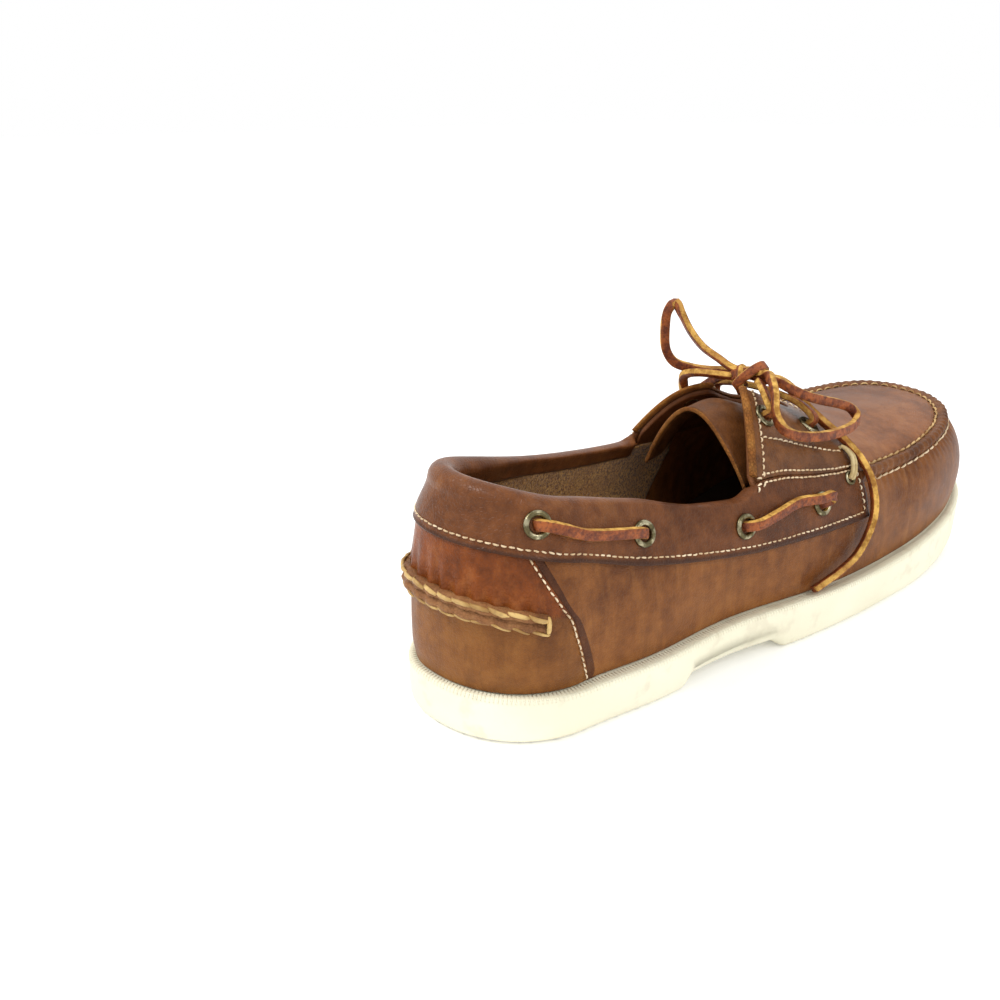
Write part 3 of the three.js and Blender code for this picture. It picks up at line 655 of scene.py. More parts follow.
def counter(name, bottom, top, pucker, material):
    share = np.concatenate([[-1, -0.996], np.linspace(-0.985, 0.985, 150), [0.996, 1]])
    v = spread(np.full(len(share), bottom), np.full(len(share), top), 26, 0.008)
    u = u_at(share[:, None] * counter_front(v))
    s = s_at(u)
    wave = np.cos(2 * math.pi * s / HEEL_PITCH) * np.exp(-(((v - seam_v(u)) / 0.13) ** 2)) * pucker
    dent = 0.16 * np.sin(s / 9.0 + 5 * v) + 0.1 * np.sin(s / 5.1 - 9 * v)
    skived = 0.7 * (1 - smooth(0, 0.09, v)) + 0.35 * smooth(0.93, 1, np.abs(share))[:, None]
    near_seam = 1 - smooth(HEEL_SEAM_HALF - 0.1, HEEL_SEAM_HALF, np.abs(u))
    piece = skin(name, leaf(u, v, -1.05 + wave * near_seam + dent * 0.6 + skived, 0.2), material)


def counter_strip(name, sign, bottom, top):
    """The skived edge of a counter piece, coloured dark as painted shade in the recess along the counter's front."""
    v = spread(np.full(12, bottom), np.full(12, top), 24, 0.008)
    share = np.linspace(-0.4, STRIP_WIDTH, 12)[:, None]
    u = u_at(sign * (counter_front(v) + share))
    thin = np.interp(share, [0, STRIP_WIDTH], [0, 0.4])
    piece = skin(name, leaf(u, v, -0.62 + thin + 0.4 * (1 - smooth(0, 0.09, v)), 0.2), SHADE_STRIP_LEATHER)


# Painted shade: a dark leather for the strips in the recess along each counter's front edge.
SHADE_STRIP_LEATHER = leather("painted_shade_edge", (52, 28, 16), (84, 48, 28), (116, 76, 50), 0.5, streaks=0.1)
for side, sign in zip(BOTH, (1, -1)):
    counter_strip(f"heel_counter_bottom_edge_{side}", sign, 0.002, 0.40)
    counter_strip(f"heel_counter_top_edge_{side}", sign, 0.385, 0.74)


counter("heel_counter_bottom", 0.002, 0.42, 0.12, leather(
    "counter_leather", (86, 50, 24), (128, 84, 46), (156, 112, 68), 0.42, streaks=0.2))
counter("heel_counter_top", 0.385, 0.74, 0.8, PUCKERED)


def height_of(u):
    """Length of the wall from the sole to the crest, which turns millimetres into steps of v."""
    return np.linalg.norm(surface(u, 0.5) - surface(u, 0), axis=-1) + np.linalg.norm(
        surface(u, 1) - surface(u, 0.5), axis=-1)


def thread(name, dark, pale, shine=0.6):
    f = Finish(name)
    strand = f.noise(900, 3)
    colour = f.mix(f.noise(90, 3).band(0.35, 0.65), paint(*dark), paint(*pale))
    colour = f.mix(strand.band(0.5, 0.7) * 0.35, colour, paint(120, 92, 62))
    return f.shader(Base_Color=colour, Roughness=shine, Normal=f.bump(strand, 0.0002), Specular_IOR_Level=0.35)


FINE = (2.5, 1.95, 0.64)     # pitch, length and width of the finer machine stitches
FINE_THREAD = thread("fine_thread", (196, 168, 130), (232, 212, 180))
WAXED_THREAD = thread("waxed_thread", (146, 108, 54), (206, 172, 108), 0.42)


def read(at, run, values):
    """Rows of values at places along a run."""
    return np.stack([np.interp(at, run, column) for column in np.transpose(values)], -1)


def sewn(name, u, v, depth, pitch, length, width, material=FINE_THREAD, slant=0.0, lift=0.5, uneven=0.06):
    """A row of stitches along a line of the upper: small bent lengths of thread whose ends dip into the leather."""
    chance = np.random.default_rng(len(name) + int(100 * pitch))
    u, v = np.broadcast_arrays(u, v)
    line, normal = surface(u, v, depth), facing(u, v)
    run = run_of(line)
    count = max(1, round(run[-1] / pitch))
    centre = (np.arange(count) + 0.5) * run[-1] / count
    at, out = read(centre, run, line), read(centre, run, normal)
    along = unit(read(centre + 0.4, run, line) - read(centre - 0.4, run, line))
    side = np.cross(out, along)
    angle = slant + uneven * chance.normal(size=(count, 1)) * 1.5
    turned = along * np.cos(angle) + side * np.sin(angle)
    across = np.cross(out, turned)
    length = length * (1 + uneven * chance.normal(size=(count, 1)))
    bend = width * uneven * 2 * chance.normal(size=(count, 1))
    runs = []
    for t, high, thick in [(-0.5, -0.5, 0.45), (-0.41, 0.05, 0.75), (-0.18, lift, 1), (0.18, lift, 1),
                           (0.41, 0.05, 0.75), (0.5, -0.5, 0.45)]:
        for k in range(6):
            a = math.pi * k / 3
            runs.append(at + turned * t * length + out * width * (high + 0.42 * thick * math.sin(a))
                        + across * (0.5 * width * thick * math.cos(a) + bend * (1 - 4 * t * t)))
    faces = [(i + k, i + 6 + k, i + 6 + (k + 1) % 6, i + (k + 1) % 6) for i in range(0, 30, 6) for k in range(6)]
    faces += [tuple(range(5, -1, -1)), tuple(range(30, 36))]
    many(name, np.stack(runs, 1), faces, material)


row_v = np.linspace(0.02, 0.70, 80)
for side, sign in zip(BOTH, (1, -1)):
    row_u = u_at(sign * np.interp(row_v, *COUNTER_ROW))
    sewn(f"counter_stitches_{side}", row_u, row_v, -1.0, *FINE)

# ==== Heel seam ==================================================================================
# A raised seam across the back of the heel: both pieces' edges stand out as two lips, whipped together with thick
# waxed thread along the top and the bottom lip, and closed by a stitch across each end.
LIPS = np.array([(-0.046, -0.2), (-0.049, 1.6), (-0.046, 2.8), (-0.036, 3.6), (-0.022, 3.9), (-0.009, 3.5), (0.0, 2.5),
        (0.009, 3.6), (0.022, 4.1), (0.036, 3.8), (0.046, 2.8), (0.049, 1.6),
                 (0.046, -0.2)])     # v, and how proud


def heel_seam():
    u = np.linspace(-HEEL_SEAM_HALF, HEEL_SEAM_HALF, 220)
    taper = np.sqrt(np.clip(1 - (np.abs(u) / (HEEL_SEAM_HALF + 0.01)) ** 24, 0, 1))[:, None]
    pinch = 1 + 0.10 * np.cos(2 * math.pi * s_at(u) / HEEL_PITCH)[:, None]
    v = seam_v(u)[:, None] + LIPS[:, 0] * (0.75 + 0.25 * taper)
    proud = LIPS[:, 1] * pinch * (0.5 + 0.5 * taper)
    piece = skin("heel_seam_lips", surface(u[:, None], v, -proud), SEAM)
    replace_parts(piece, "heel_seam")


SEAM = leather("seam_leather", (84, 54, 38), (140, 100, 76), (182, 146, 118), 0.5, grain=0.0002)
heel_seam()
row_u = np.linspace(-0.765, 0.765, 300)
for name, offset, depth, width in (("top", 0.034, -3.5, 1.6), ("bottom", -0.04, -3.0, 1.05)):
    sewn(f"heel_seam_whipping_{name}", row_u, seam_v(row_u) + offset, depth, HEEL_PITCH, 6.9, width, WAXED_THREAD,
         slant=-0.11, lift=0.35, uneven=0.09)
for side, sign in zip(BOTH, (1, -1)):
    end = sign * np.linspace(0.755, 0.775, 4)
    sewn(f"heel_seam_closing_{side}", end, seam_v(end), -3.3, 9, 5.6, 1.6, WAXED_THREAD, slant=1.9, lift=0.5)

# ==== Toe seam ===================================================================================
# The gathered seam round the toe: the wall's edge is puckered and sewn to the plug as a raised roll, with a row of
# thick stitches on the plug's side and a finer row under the roll.
TOE_ROLL = np.array([       # v, depth, and the share of the puckering
    (-0.078, 0.5, 0), (-0.07, 0.0, 0.2), (-0.058, -0.9, 0.6), (-0.045, -1.7, 1), (-0.03, -2.3, 1), (-0.012, -2.75, 0.8),
    (0.008, -2.9, 0.5), (0.026, -2.6, 0.3), (0.042, -1.8, 0.25), (0.052, -0.9, 0.2), (0.06, 0.0, 0), (0.06, 0.7, 0),
])
ROLL_LEATHER = leather("roll_leather", (70, 40, 24), (118, 76, 48), (154, 110, 74), 0.46, grain=0.0002)


def round_toe(past, count):
    """u at even distances round the toe, from a little past the eyestay's front on one side to the other."""
    first = u_of_y(EYESTAY_FRONT) + past
    return u_at(np.linspace(s_at(first), GIRTH - s_at(first), count))


def toe_seam():
    u = round_toe(-0.03, 700)
    v = TOE_ROLL[:, 0] + toe_seam_v(u)[:, None]
    share = TOE_ROLL[:, 2]
    depth = TOE_ROLL[:, 1] + 0.38 * puckers(u)[:, None] * share + 0.12 * np.sin(s_at(u) / 2.9)[:, None] * share
    piece = skin("toe_seam_roll", surface(u[:, None], v, depth), ROLL_LEATHER)
    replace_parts(piece, "toe_seam")


toe_seam()
row_u = round_toe(0.02, 900)
sewn("toe_seam_plug_stitches", row_u, toe_seam_v(row_u) + 0.068, -0.45, PUCKER_PITCH, 3.7, 1.0,
     thread("toe_thread", (150, 112, 64), (206, 172, 118)), slant=0.1)
sewn("toe_seam_wall_stitches", row_u, toe_seam_v(row_u) - 0.078, -0.35, PUCKER_PITCH, 3.9, 0.85, slant=0.12)

# ==== Collar band ================================================================================
# A strip of darker leather sewn round the collar over a thin pad, and turned over the topline into the shoe. It
# ends flat on the vamp on either side, and the lace runs along inside it and out through its eyelets.
UP = np.array([0.0, 0.0, 1.0])
# Its lower rolled edge is darkened: its own darker tone with painted shade under the roll.
BAND = leather("band_leather", (74, 42, 26), (112, 70, 46), (150, 106, 74), 0.34, streaks=0.12, edge_tone_and_shade=True)
BAND_DEPTH = -(GAP + OVERLAY)
HEEL_LEAN = 2.6              # how far the band leans in at the back of the heel
THIN_PAD, HEEL_PAD = 1.7, 6.3      # padding along the sides, and what the heel has besides
LOW_ROLL, HEEL_ROLL = 1.0, 4.6     # height of the roll there
BAND_ENDS = BAND_FRONT - 3         # y of the stitches across its ends


def on(side, u):
    """u on the outer side, or its mirror on the inner one."""
    return u if side == "outer" else 6 - u


def band_v(u):
    return PROFILE("band", crest_y(u))


def collar_band():
    end = s_at(u_of_y(BAND_FRONT))
    u = u_at(np.linspace(-end, end, 560))
    y = crest_y(u)
    start = at_side(u, THROAT_START)
    fold = (1 - smooth(start - 1, start + 3, y))[:, None, None]
    heel = (1 - smooth(12, 70, y))[:, None]
    low, top = band_v(u)[:, None], (band_top(u) - 0.09 * heel[:, 0])[:, None]
    share = np.array([0, 0.004, 0.015, 0.04, 0.07, 0.1, *np.linspace(0.16, 0.9, 10), 0.95, 1.0])
    v = low + (top - low) * share
    s, swell = s_at(u)[:, None], np.sin(math.pi * share)
    slump = 0.3 * np.sin(s / 13.0) * swell + 0.16 * np.sin(s / 5.9 + 7 * share) * swell
    edge = np.interp(share, [0, 0.004, 0.015, 0.05, 0.1, 0.13, 0.8, 1], [1.0, 0.35, -0.3, -0.55, -0.1, 0.05, 0, -0.1])
    lean = HEEL_LEAN * (1 - smooth(8, 30, y))[:, None] * smooth(0.2, 1.0, share)
    outside = surface(u[:, None], v, BAND_DEPTH + edge + slump * 0.7 + lean)
    # The roll over the topline: a half ellipse from the outside to the inside, widest over the heel's pad.
    angle = np.linspace(0.1, math.pi, 11)
    reach, inner = BAND_DEPTH - 0.1 + lean[:, -1:], WALL + THIN_PAD + HEEL_PAD * heel
    middle, half = (reach + inner)[:, 0] / 2, (inner - reach)[:, 0] / 2
    rim = surface(u, top[:, 0], 0) - crest_at(u, 0)
    roll = np.stack([crest_at(u, middle - half * math.cos(a)) + rim + (LOW_ROLL + HEEL_ROLL * heel) * UP * math.sin(a)
                     for a in angle], 1)
    down = np.array([0.02, 0.045, 0.07, 0.095, 0.115, 0.13, 0.135])
    inside = surface(u[:, None], top - down, inner * (1 - 0.35 * heel * np.linspace(0.2, 1, 7)) + np.array(
        [0.2, 0.1, 0, 0, -0.1, -0.6, -1.4]) * (1 + heel))
    flat = surface(u, top[:, 0], BAND_DEPTH + 0.7)[:, None]
    leant, t = lean[:, -1], top[:, 0]
    core = np.stack([surface(u, t - 0.12, WALL + 0.4), surface(u, t - 0.03, WALL + 0.4), surface(u, t, 0.9 + leant),
                     surface(u, t - 0.03, leant - 0.1), surface(u, 0.85, leant * 0.6 - 0.1)], 1)
    flat_core = np.repeat(surface(u, t - 0.01, -0.1)[:, None], 5, 1)
    foot = surface(u[:, None], low, -0.05)
    over = np.concatenate([roll, inside], 1) * fold + (1 - fold) * flat
    under = core * fold + (1 - fold) * flat_core
    rows = np.concatenate([outside, over, under, foot], 1)
    across = [*share, *[1.0] * (rows.shape[1] - len(share) - 1), 0.0, 0.0]
    piece = skin("collar_band_leather", rows, BAND, uv=(s[:, 0] / 10, across))
    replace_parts(piece, "collar_band")


collar_band()
end = s_at(u_of_y(BAND_ENDS))
row_u = u_at(np.linspace(-end, end, 800))
sewn("collar_band_stitches", row_u, band_v(row_u) + 3.0 / height_of(row_u), BAND_DEPTH + 0.05, *FINE)
for side in BOTH:
    end_u = on(side, u_of_y(BAND_ENDS))
    row_v = np.linspace(band_v(end_u) + 0.07, 0.94, 40)
    sewn(f"collar_band_end_stitches_{side}", np.full(40, end_u), row_v, BAND_DEPTH - 0.05, *FINE)

# ==== Eyestay ====================================================================================
# A saddle of dark leather over the instep with a slot for the tongue. Its back edges are cut raw and rolled back,
# so that they show tan; two rows of thread hold its lower edge to the collar band, and one row runs round the rest.
SEAM_GAP = 0.002             # v between the band's top edge and the eyestay's lower one
RAW_TAN = leather("raw_edge", (96, 58, 28), (148, 98, 52), (196, 150, 92), 0.75, grain=0.0005)
EYESTAY_LEATHER = leather("eyestay_leather", (74, 46, 32), (118, 80, 57), (148, 108, 80), 0.32, streaks=0.12)
STAY = (2.7, 2.1, 0.75)      # pitch, length and width of its stitches; the rows along the collar band are closer
STAY_ROWS = (2.3, 1.8, 0.72)
STAY_FACE = BAND_DEPTH - 0.25
TACKS = [(1.487, 1.035, 0.2), (1.492, 1.062, -0.3), (1.480, 1.015, 1.2), (1.5, 1.03, 0.9)]      # u, v and slant


def eyestay_wing(side):
    y = np.concatenate([np.arange(118.5, 176, 0.75), np.linspace(176.4, EYESTAY_FRONT, 8)])
    u = on(side, u_of_y(y))
    keep = edge_v(u) > 1.1
    u, y = u[keep], y[keep]
    v = spread(band_top(u) + SEAM_GAP, edge_v(u), 30, 0.012)
    v[edge_v(u) >= 2, -4:] = TO_MIDDLE
    sag = 0.22 * np.sin(y[:, None] / 6.0 + 8 * v) * np.sin(math.pi * np.clip((v - 1) * 1.4, 0, 1))
    piece = skin(f"eyestay_{side}", leaf(u, v, STAY_FACE + sag, -GAP), EYESTAY_LEATHER)
    if side == "outer":
        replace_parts(piece, "eyestay")


for side in BOTH:
    eyestay_wing(side)


def swept(name, path, section, across, out, material, uv=None):
    """A section of (across, out) offsets carried along a path, given both directions at each of its points."""
    rows = path[:, None] + across[:, None] * section[None, :, :1] + out[:, None] * section[None, :, 1:]
    return skin(name, rows, material, uv=uv)


def oval(across, out, count=12, middle=0.0):
    """An oval section of those half sizes, with its middle moved across."""
    a = np.linspace(0, 2 * math.pi, count + 1)[:-1]
    return np.stack([middle + across * np.cos(a), out * np.sin(a)], -1)


for side, start, corner in zip(BOTH, THROAT_START, THROAT_CORNER):
    u = on(side, u_of_y(np.linspace(start + 2.5, corner + 1.5, 60)))
    v = edge_v(u)
    path, out = surface(u, v, BAND_DEPTH + 0.2), facing(u, v)
    bead = swept(f"eyestay_raw_edge_{side}", path, oval(1.7, 1.0), np.cross(out, unit(np.gradient(path, axis=0))), out,
                 RAW_TAN)
    sewn(f"eyestay_back_stitches_{side}", u + (0.026 if side == "outer" else -0.026), v - 0.02, STAY_FACE, *STAY)
    u = on(side, u_of_y(np.linspace(start + 6, EYESTAY_FRONT - 5, 90)))
    for row, step in (("lower", -0.014), ("upper", 0.024)):
        sewn(f"eyestay_{row}_stitches_{side}", u, band_top(u) + step, BAND_DEPTH - 0.2, *STAY_ROWS)
    front_u = on(side, u_of_y(EYESTAY_FRONT - 3))
    sewn(f"eyestay_front_stitches_{side}", np.full(60, front_u), np.linspace(1.0, 1.99, 60), STAY_FACE, *STAY)

for side, start in zip(BOTH, THROAT_START):
    strip_v = np.interp(np.linspace(0, 1, 90), [0, 0.5, 1], [1.26, 1.19, 1.12])
    strip_u = on(side, np.linspace(1.555 if side == "outer" else 1.62, 1.80, 90))
    sewn(f"eyestay_strip_stitches_{side}", strip_u, strip_v, STAY_FACE, 2.7, 2.1, 0.72)
    # Where eyestay, band and lining meet, the machine has gone back and forth.
    for i, (tack_u, tack_v, slant) in enumerate(TACKS, 1):
        tack_u += (start - THROAT_START[0]) / (TOE_ARC - HEEL_ARC)
        tack_run = on(side, np.linspace(tack_u, tack_u + 0.018, 6))
        sewn(f"corner_tack_{side}_{i}", tack_run, tack_v, BAND_DEPTH - 0.35, 2.2, 2.3, 0.75, slant=slant)

# ==== Tongue =====================================================================================
# A single thickness of leather under the throat. Its free end stands up in an arch, with a raw, paler edge.
TONGUE = Table("y crown fall half", [
    [121, 85.5, 0.0297, 28], [137, 86, 0.027, 27], [150, 81.8, 0.018, 25.5], [172, 72.6, 0.011, 23],
    [196, 66, 0.008, 20],
])
TONGUE_CENTRE, TONGUE_THICK, TONGUE_CURL = 2.5, 1.6, 1.1
TONGUE_TIP = 121.0           # y of its free end


def curling(side, y):
    """How much steeper the tongue falls to its inner side, at its free end."""
    return 1 + TONGUE_CURL * (side < 0) * (1 - smooth(TONGUE_TIP, 150, y))


def tongue_x(side, y):
    """How far across the tongue reaches, with its inner side drawn in at the free end."""
    return side * TONGUE("half", y) * (1 - 0.26 * (side < 0) * (1 - smooth(TONGUE_TIP, 155, y)))


def tip_wave(x):
    return 0.5 * np.sin(x / 4.0 + 0.6)


def tongue():
    y = np.concatenate([[121, 121.15], np.linspace(121.6, 195.6, 70), [195.9, 196]])
    side = np.concatenate([[-1, -0.995], np.linspace(-0.98, 0.98, 60), [0.995, 1]])
    x = tongue_x(side[None, :], y[:, None])
    fall, crown = TONGUE("fall", y)[:, None] * curling(side[None, :], y[:, None]), TONGUE("crown", y)[:, None]
    size = np.sqrt(1 + (2 * fall * x) ** 2)
    curl = tip_wave(x) * (1 - smooth(TONGUE_TIP, 140, y))[:, None]
    thin = np.maximum(np.interp(side, [-1, -0.98, 0.98, 1], [0.45, 0, 0, 0.45])[None, :],
                      np.interp(y, [121, 121.6, 195.6, 196], [0.45, 0, 0, 0.45])[:, None]) * TONGUE_THICK
    face, back = (np.stack([TONGUE_CENTRE + sweep(y)[:, None] + x - 2 * fall * x / size * depth, y[:, None] + 0 * x,
                            crown - fall * x * x + curl - depth / size], -1) for depth in (thin, TONGUE_THICK - thin))
    piece = skin("tongue_leather", np.concatenate([face, back[:, ::-1]], 1), leather(
        "tongue_leather", (62, 36, 20), (104, 66, 40), (140, 98, 66), 0.45))
    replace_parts(piece, "tongue")
    rim = np.linspace(-1, 1, 120)
    rim_x = tongue_x(rim, TONGUE_TIP)
    fall, crown = TONGUE("fall", TONGUE_TIP) * curling(rim, TONGUE_TIP), TONGUE("crown", TONGUE_TIP)
    path = np.stack([TONGUE_CENTRE + sweep(TONGUE_TIP) + rim_x, np.full(120, TONGUE_TIP),
                     crown - fall * rim_x**2 + tip_wave(rim_x) - TONGUE_THICK / 2], -1)
    out = unit(np.stack([2 * fall * rim_x, 0 * rim_x, np.ones(120)], -1))
    edge = swept("tongue_raw_edge", path, oval(0.35, 0.85, 8), np.repeat([[0.0, 1.0, 0.0]], 120, 0), out, RAW_TAN)


tongue()

# ==== Eyelets ====================================================================================
# Two-part eyelets of antiqued brass: a domed flange on the face of the leather and a barrel through it.
COLLAR_HOLES = [(0.738, 0.876), (1.168, 0.823), (1.432, 0.773), (1.67, 0.774)]      # u, v on the outer side
THROAT_HOLES = [(1.599, 1.4), (1.763, 1.4)]
INNER_REAR = (4.343, 1.35)   # the eyestay starts further forward on the inner side, and so does its rear eyelet
EYELET = [(2.5, -3.6), (3.1, -3.6), (3.1, -0.1), (4.35, -0.05), (4.6, 0.25), (4.55, 0.65), (4.2, 1.05), (3.7, 1.25),
          (3.2, 1.2), (2.8, 0.9), (2.55, 0.4)]          # radius, and height above the leather


def brass():
    f = Finish("antique_brass")
    wear_and_painted_side_light = f.noise(300, 5).band(0.42, 0.62)
    colour = f.mix(wear_and_painted_side_light, paint(96, 88, 62), paint(176, 168, 138))
    dirt = f.noise(700, 4).band(0.55, 0.7)
    colour = f.mix(dirt * 0.6, colour, paint(48, 42, 30))
    return f.shader(Base_Color=colour, Metallic=1.0, Roughness=wear_and_painted_side_light * -0.16 + 0.42, Normal=f.bump(wear_and_painted_side_light, 0.00004))


BRASS = brass()


def inner_side(hole):
    return INNER_REAR if hole == THROAT_HOLES[0] else (6 - hole[0], hole[1])


def set_at(u, v, out=0.0):
    """A point on the axis of an eyelet in the leather's face, and the axis."""
    axis = facing(u, v, BAND_DEPTH)
    return surface(u, v, BAND_DEPTH) + axis * out, axis


def eyelet(name, u, v, scale=1.0):
    middle, axis = set_at(u, v)
    across = unit(np.cross(axis, UP))
    up = np.cross(axis, across)
    rows = []
    for a in np.linspace(0, 2 * math.pi, 41)[:-1]:
        spoke = across * math.cos(a) + up * math.sin(a)
        rows.append([middle + scale * (spoke * r + axis * h) for r, h in EYELET])
    piece = skin(name, np.array(rows), BRASS, loop=True)
    return piece


for row, holes in (("collar", COLLAR_HOLES), ("throat", THROAT_HOLES)):
    for i, hole in enumerate(holes, 1):
        for side, at in zip(BOTH, (hole, inner_side(hole))):
            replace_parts(eyelet(f"eyelet_{row}_{side}_{i}_brass", *at), f"eyelet_{row}_{side}_{i}")

# ==== Corner cord ================================================================================
# At the eyestay's front corner a short loop of thick waxed cord ties it to the band, through a small eyelet.
CORD = thread("waxed_cord", (168, 142, 92), (214, 196, 146), 0.45)
CORD_HALF = 0.8              # it lies double, so two strands show side by side


def smooth_path(points, step=0.9):
    """Points spread evenly along a centripetal curve through the given ones."""
    p = np.array(points, float)
    p = np.concatenate([[2 * p[0] - p[1]], p, [2 * p[-1] - p[-2]]])
    knots = np.concatenate([[0], np.cumsum(np.linalg.norm(np.diff(p, axis=0), axis=-1) ** 0.5)])
    out = []
    for i in range(1, len(p) - 2):
        t0, t1, t2, t3 = knots[i - 1:i + 3]
        for t in np.linspace(t1, t2, 24, endpoint=False):
            a1 = p[i - 1] * (t1 - t) / (t1 - t0) + p[i] * (t - t0) / (t1 - t0)
            a2 = p[i] * (t2 - t) / (t2 - t1) + p[i + 1] * (t - t1) / (t2 - t1)
            a3 = p[i + 1] * (t3 - t) / (t3 - t2) + p[i + 2] * (t - t2) / (t3 - t2)
            b1 = a1 * (t2 - t) / (t2 - t0) + a2 * (t - t0) / (t2 - t0)
            b2 = a2 * (t3 - t) / (t3 - t1) + a3 * (t - t1) / (t3 - t1)
            out.append(b1 * (t2 - t) / (t2 - t1) + b2 * (t - t1) / (t2 - t1))
    out = np.array(out + [p[-2]])
    run = run_of(out)
    return read(np.linspace(0, run[-1], max(8, int(run[-1] / step))), run, out), run[-1]


def corner_cord(side):
    (low_u, low_v), (high_u, high_v) = (1.785, 0.90), (1.815, 1.15)
    (bottom, axis), (top, rise) = set_at(on(side, low_u), low_v), set_at(on(side, high_u), high_v)
    middle = surface(on(side, 1.806), 1.03, BAND_DEPTH - 2.4)
    path, _ = smooth_path([bottom - 1.5 * axis, bottom + 0.8 * axis, bottom * 0.75 + middle * 0.25 + 1.4 * axis, middle,
                           top * 0.75 + middle * 0.25 + 1.3 * rise, top + 0.6 * rise, top - 1.5 * rise], 0.6)
    run = unit(np.gradient(path, axis=0))
    across = unit(np.cross(run, axis))
    for name, middle_x in (("back", -0.75), ("front", 0.75)):
        strand = swept(f"corner_cord_{side}_{name}", path, oval(CORD_HALF, CORD_HALF, middle=middle_x), across,
                       np.cross(across, run), CORD)
    eyelet(f"corner_ring_{side}", on(side, low_u), low_v, 0.62)


for side in BOTH:
    corner_cord(side)

# ==== Laces ======================================================================================
# A rawhide lace, cut square and dyed orange-brown on its faces, with golden cut edges. It runs inside the collar
# band and shows between the eyelets, crosses the throat, and is tied in a loose bow over the instep.
LACE_HALF_WIDTH, LACE_HALF_THICK = 1.8, 1.25
# Corners of the lace's section: shares of those half sizes, and 1 on the golden edges.
LACE_SECTION = [(1, 0.62, 1), (1, -0.62, 1), (0.9, -0.9, 0.6), (0.76, -1, 0), (-0.76, -1, 0), (-0.9, -0.9, 0.6),
                (-1, -0.62, 1), (-1, 0.62, 1), (-0.9, 0.9, 0.6), (-0.76, 1, 0), (0.76, 1, 0), (0.9, 0.9, 0.6)]


def rawhide():
    f = Finish("rawhide")
    around = f.part(f.node("ShaderNodeUVMap", {"uv_map": "run"}), "Y")
    edge = (around + f.noise(800, 3) * 0.5).band(0.95, 1.1)
    fibre = f.noise(260, 5, roughness=0.7)
    face = f.mix(fibre.band(0.35, 0.65), paint(92, 38, 12), paint(156, 82, 32))
    face = f.mix(f.noise(900, 4).band(0.5, 0.7) * 0.6, face, paint(58, 22, 10))
    gold = f.mix(fibre.band(0.35, 0.65), paint(140, 94, 26), paint(216, 170, 84))
    gold = f.mix(f.noise(80, 3).band(0.45, 0.7) * 0.6, gold, paint(146, 92, 38))
    fuzz = f.noise(1400, 4)
    return f.shader(Base_Color=f.mix(edge, face, gold), Roughness=edge * 0.22 + 0.5, Normal=f.bump(
        fuzz + fibre * 1.5, 0.0003), Specular_IOR_Level=0.35)


RAWHIDE = rawhide()


def strap(name, points, edges):
    """A lace along points. edges are the directions that its cut edge looks in, spread evenly along it."""
    path, length = smooth_path(points)
    run = unit(np.gradient(path, axis=0))
    share = np.linspace(0, 1, len(path))
    wide = read(share, np.linspace(0, 1, len(edges)), edges)
    wide = unit(wide - run * np.sum(wide * run, -1, keepdims=True))
    thin = np.cross(run, wide)
    section = np.array([(a * LACE_HALF_WIDTH, b * LACE_HALF_THICK) for a, b, _ in LACE_SECTION])
    around = [c for _, _, c in LACE_SECTION] + [LACE_SECTION[0][2]]
    piece = swept(name, path, section, wide, thin, RAWHIDE, uv=(share * length / 10, around))
    return piece, path, length


def through(hole):
    return [set_at(*hole, out)[0] for out in (-2.5, 0.7, 3.4)]


def bar(name, node, a, b, lifts, hook):
    """A bar along the band between two eyelets, close over their flanges. lifts raise it above the straight line
    between them, and hook carries its front end over the top of the front eyelet before it turns in."""
    (first, axis), (last, end) = set_at(*a), set_at(*b)
    run = unit(last - first)
    points = [first - 2.6 * axis, first + 0.4 * axis, first + 3.6 * run + (2.7 if hook else 2.2) * axis]
    for t, lift in zip((0.35, 0.65), lifts):
        u, v = a[0] + (b[0] - a[0]) * t, a[1] + (b[1] - a[1]) * t
        for _ in range(3):
            v += (first[2] + (last[2] - first[2]) * t + lift - surface(u, v)[2]) / height_of(u)
        points.append(surface(u, v, BAND_DEPTH - 2.5))
    if hook:
        points += [last - 3.4 * run + 2.7 * UP + 3.0 * end, last + 0.9 * run + 3.0 * UP + 3.4 * end,
                   last + 2.8 * run + 1.5 * UP + 2.6 * end, last + 0.7 * run + 0.3 * end, last - 2.6 * end]
    else:
        points += [last - 3.6 * run + 2.9 * end, last + 0.4 * end, last - 2.6 * end]
    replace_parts(strap(name, points, [UP])[0], node)


for side in BOTH:
    holes = [(on(side, u), v) for u, v in COLLAR_HOLES]
    bar(f"lace_rear_bar_{side}", f"lace_bar_{side}_rear", holes[0], holes[1], (2.6, 2.4), False)
    bar(f"lace_front_bar_{side}", f"lace_bar_{side}_front", holes[2], holes[3], (1.0, 1.5), True)
REAR, FRONT = THROAT_HOLES
CROSSING = [(20, 164.3, 82.6), (10, 162.5, 85.4), (-2, 162, 86), (-13, 162.8, 85), (-22, 164.2, 82.4)]
RISE_OUTER = [(22.5, 139, 90.3), (18, 142, 92.4), (13.2, 145.6, 93.4)]
RISE_INNER = [(-24.8, 146.6, 85.4), (-21.2, 143.3, 89.6), (-14.5, 142.4, 92), (-6, 145.6, 92.4), (-0.8, 147.6, 92.4)]
for name, node, route, back in [
    ("lace_crossing", "lace_cross_front", through(FRONT) + CROSSING + through(inner_side(FRONT))[::-1], 0.4),
    ("lace_rise_outer", "lace_tie_outer", through(REAR) + RISE_OUTER, 0.6),
    ("lace_rise_inner", "lace_tie_inner", through(inner_side(REAR)) + RISE_INNER, 0.6),
]:
    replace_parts(strap(name, route, [(0, -1, back)])[0], node)

# Ways that a golden edge or a turn of the knot looks: out of the bow's open side, along the bow, and between.
TOWARDS, RIGHT, HALF_UP = (0.735, -0.566, 0.373), (0.612, 0.791, 0.0), (0.4, -0.3, 0.75)
UPHILL = tuple(0.80 * np.array(RIGHT) + 0.60 * np.array([-0.293, 0.232, 0.928]))
KNOT = np.array([6.0, 149.5, 93.5])


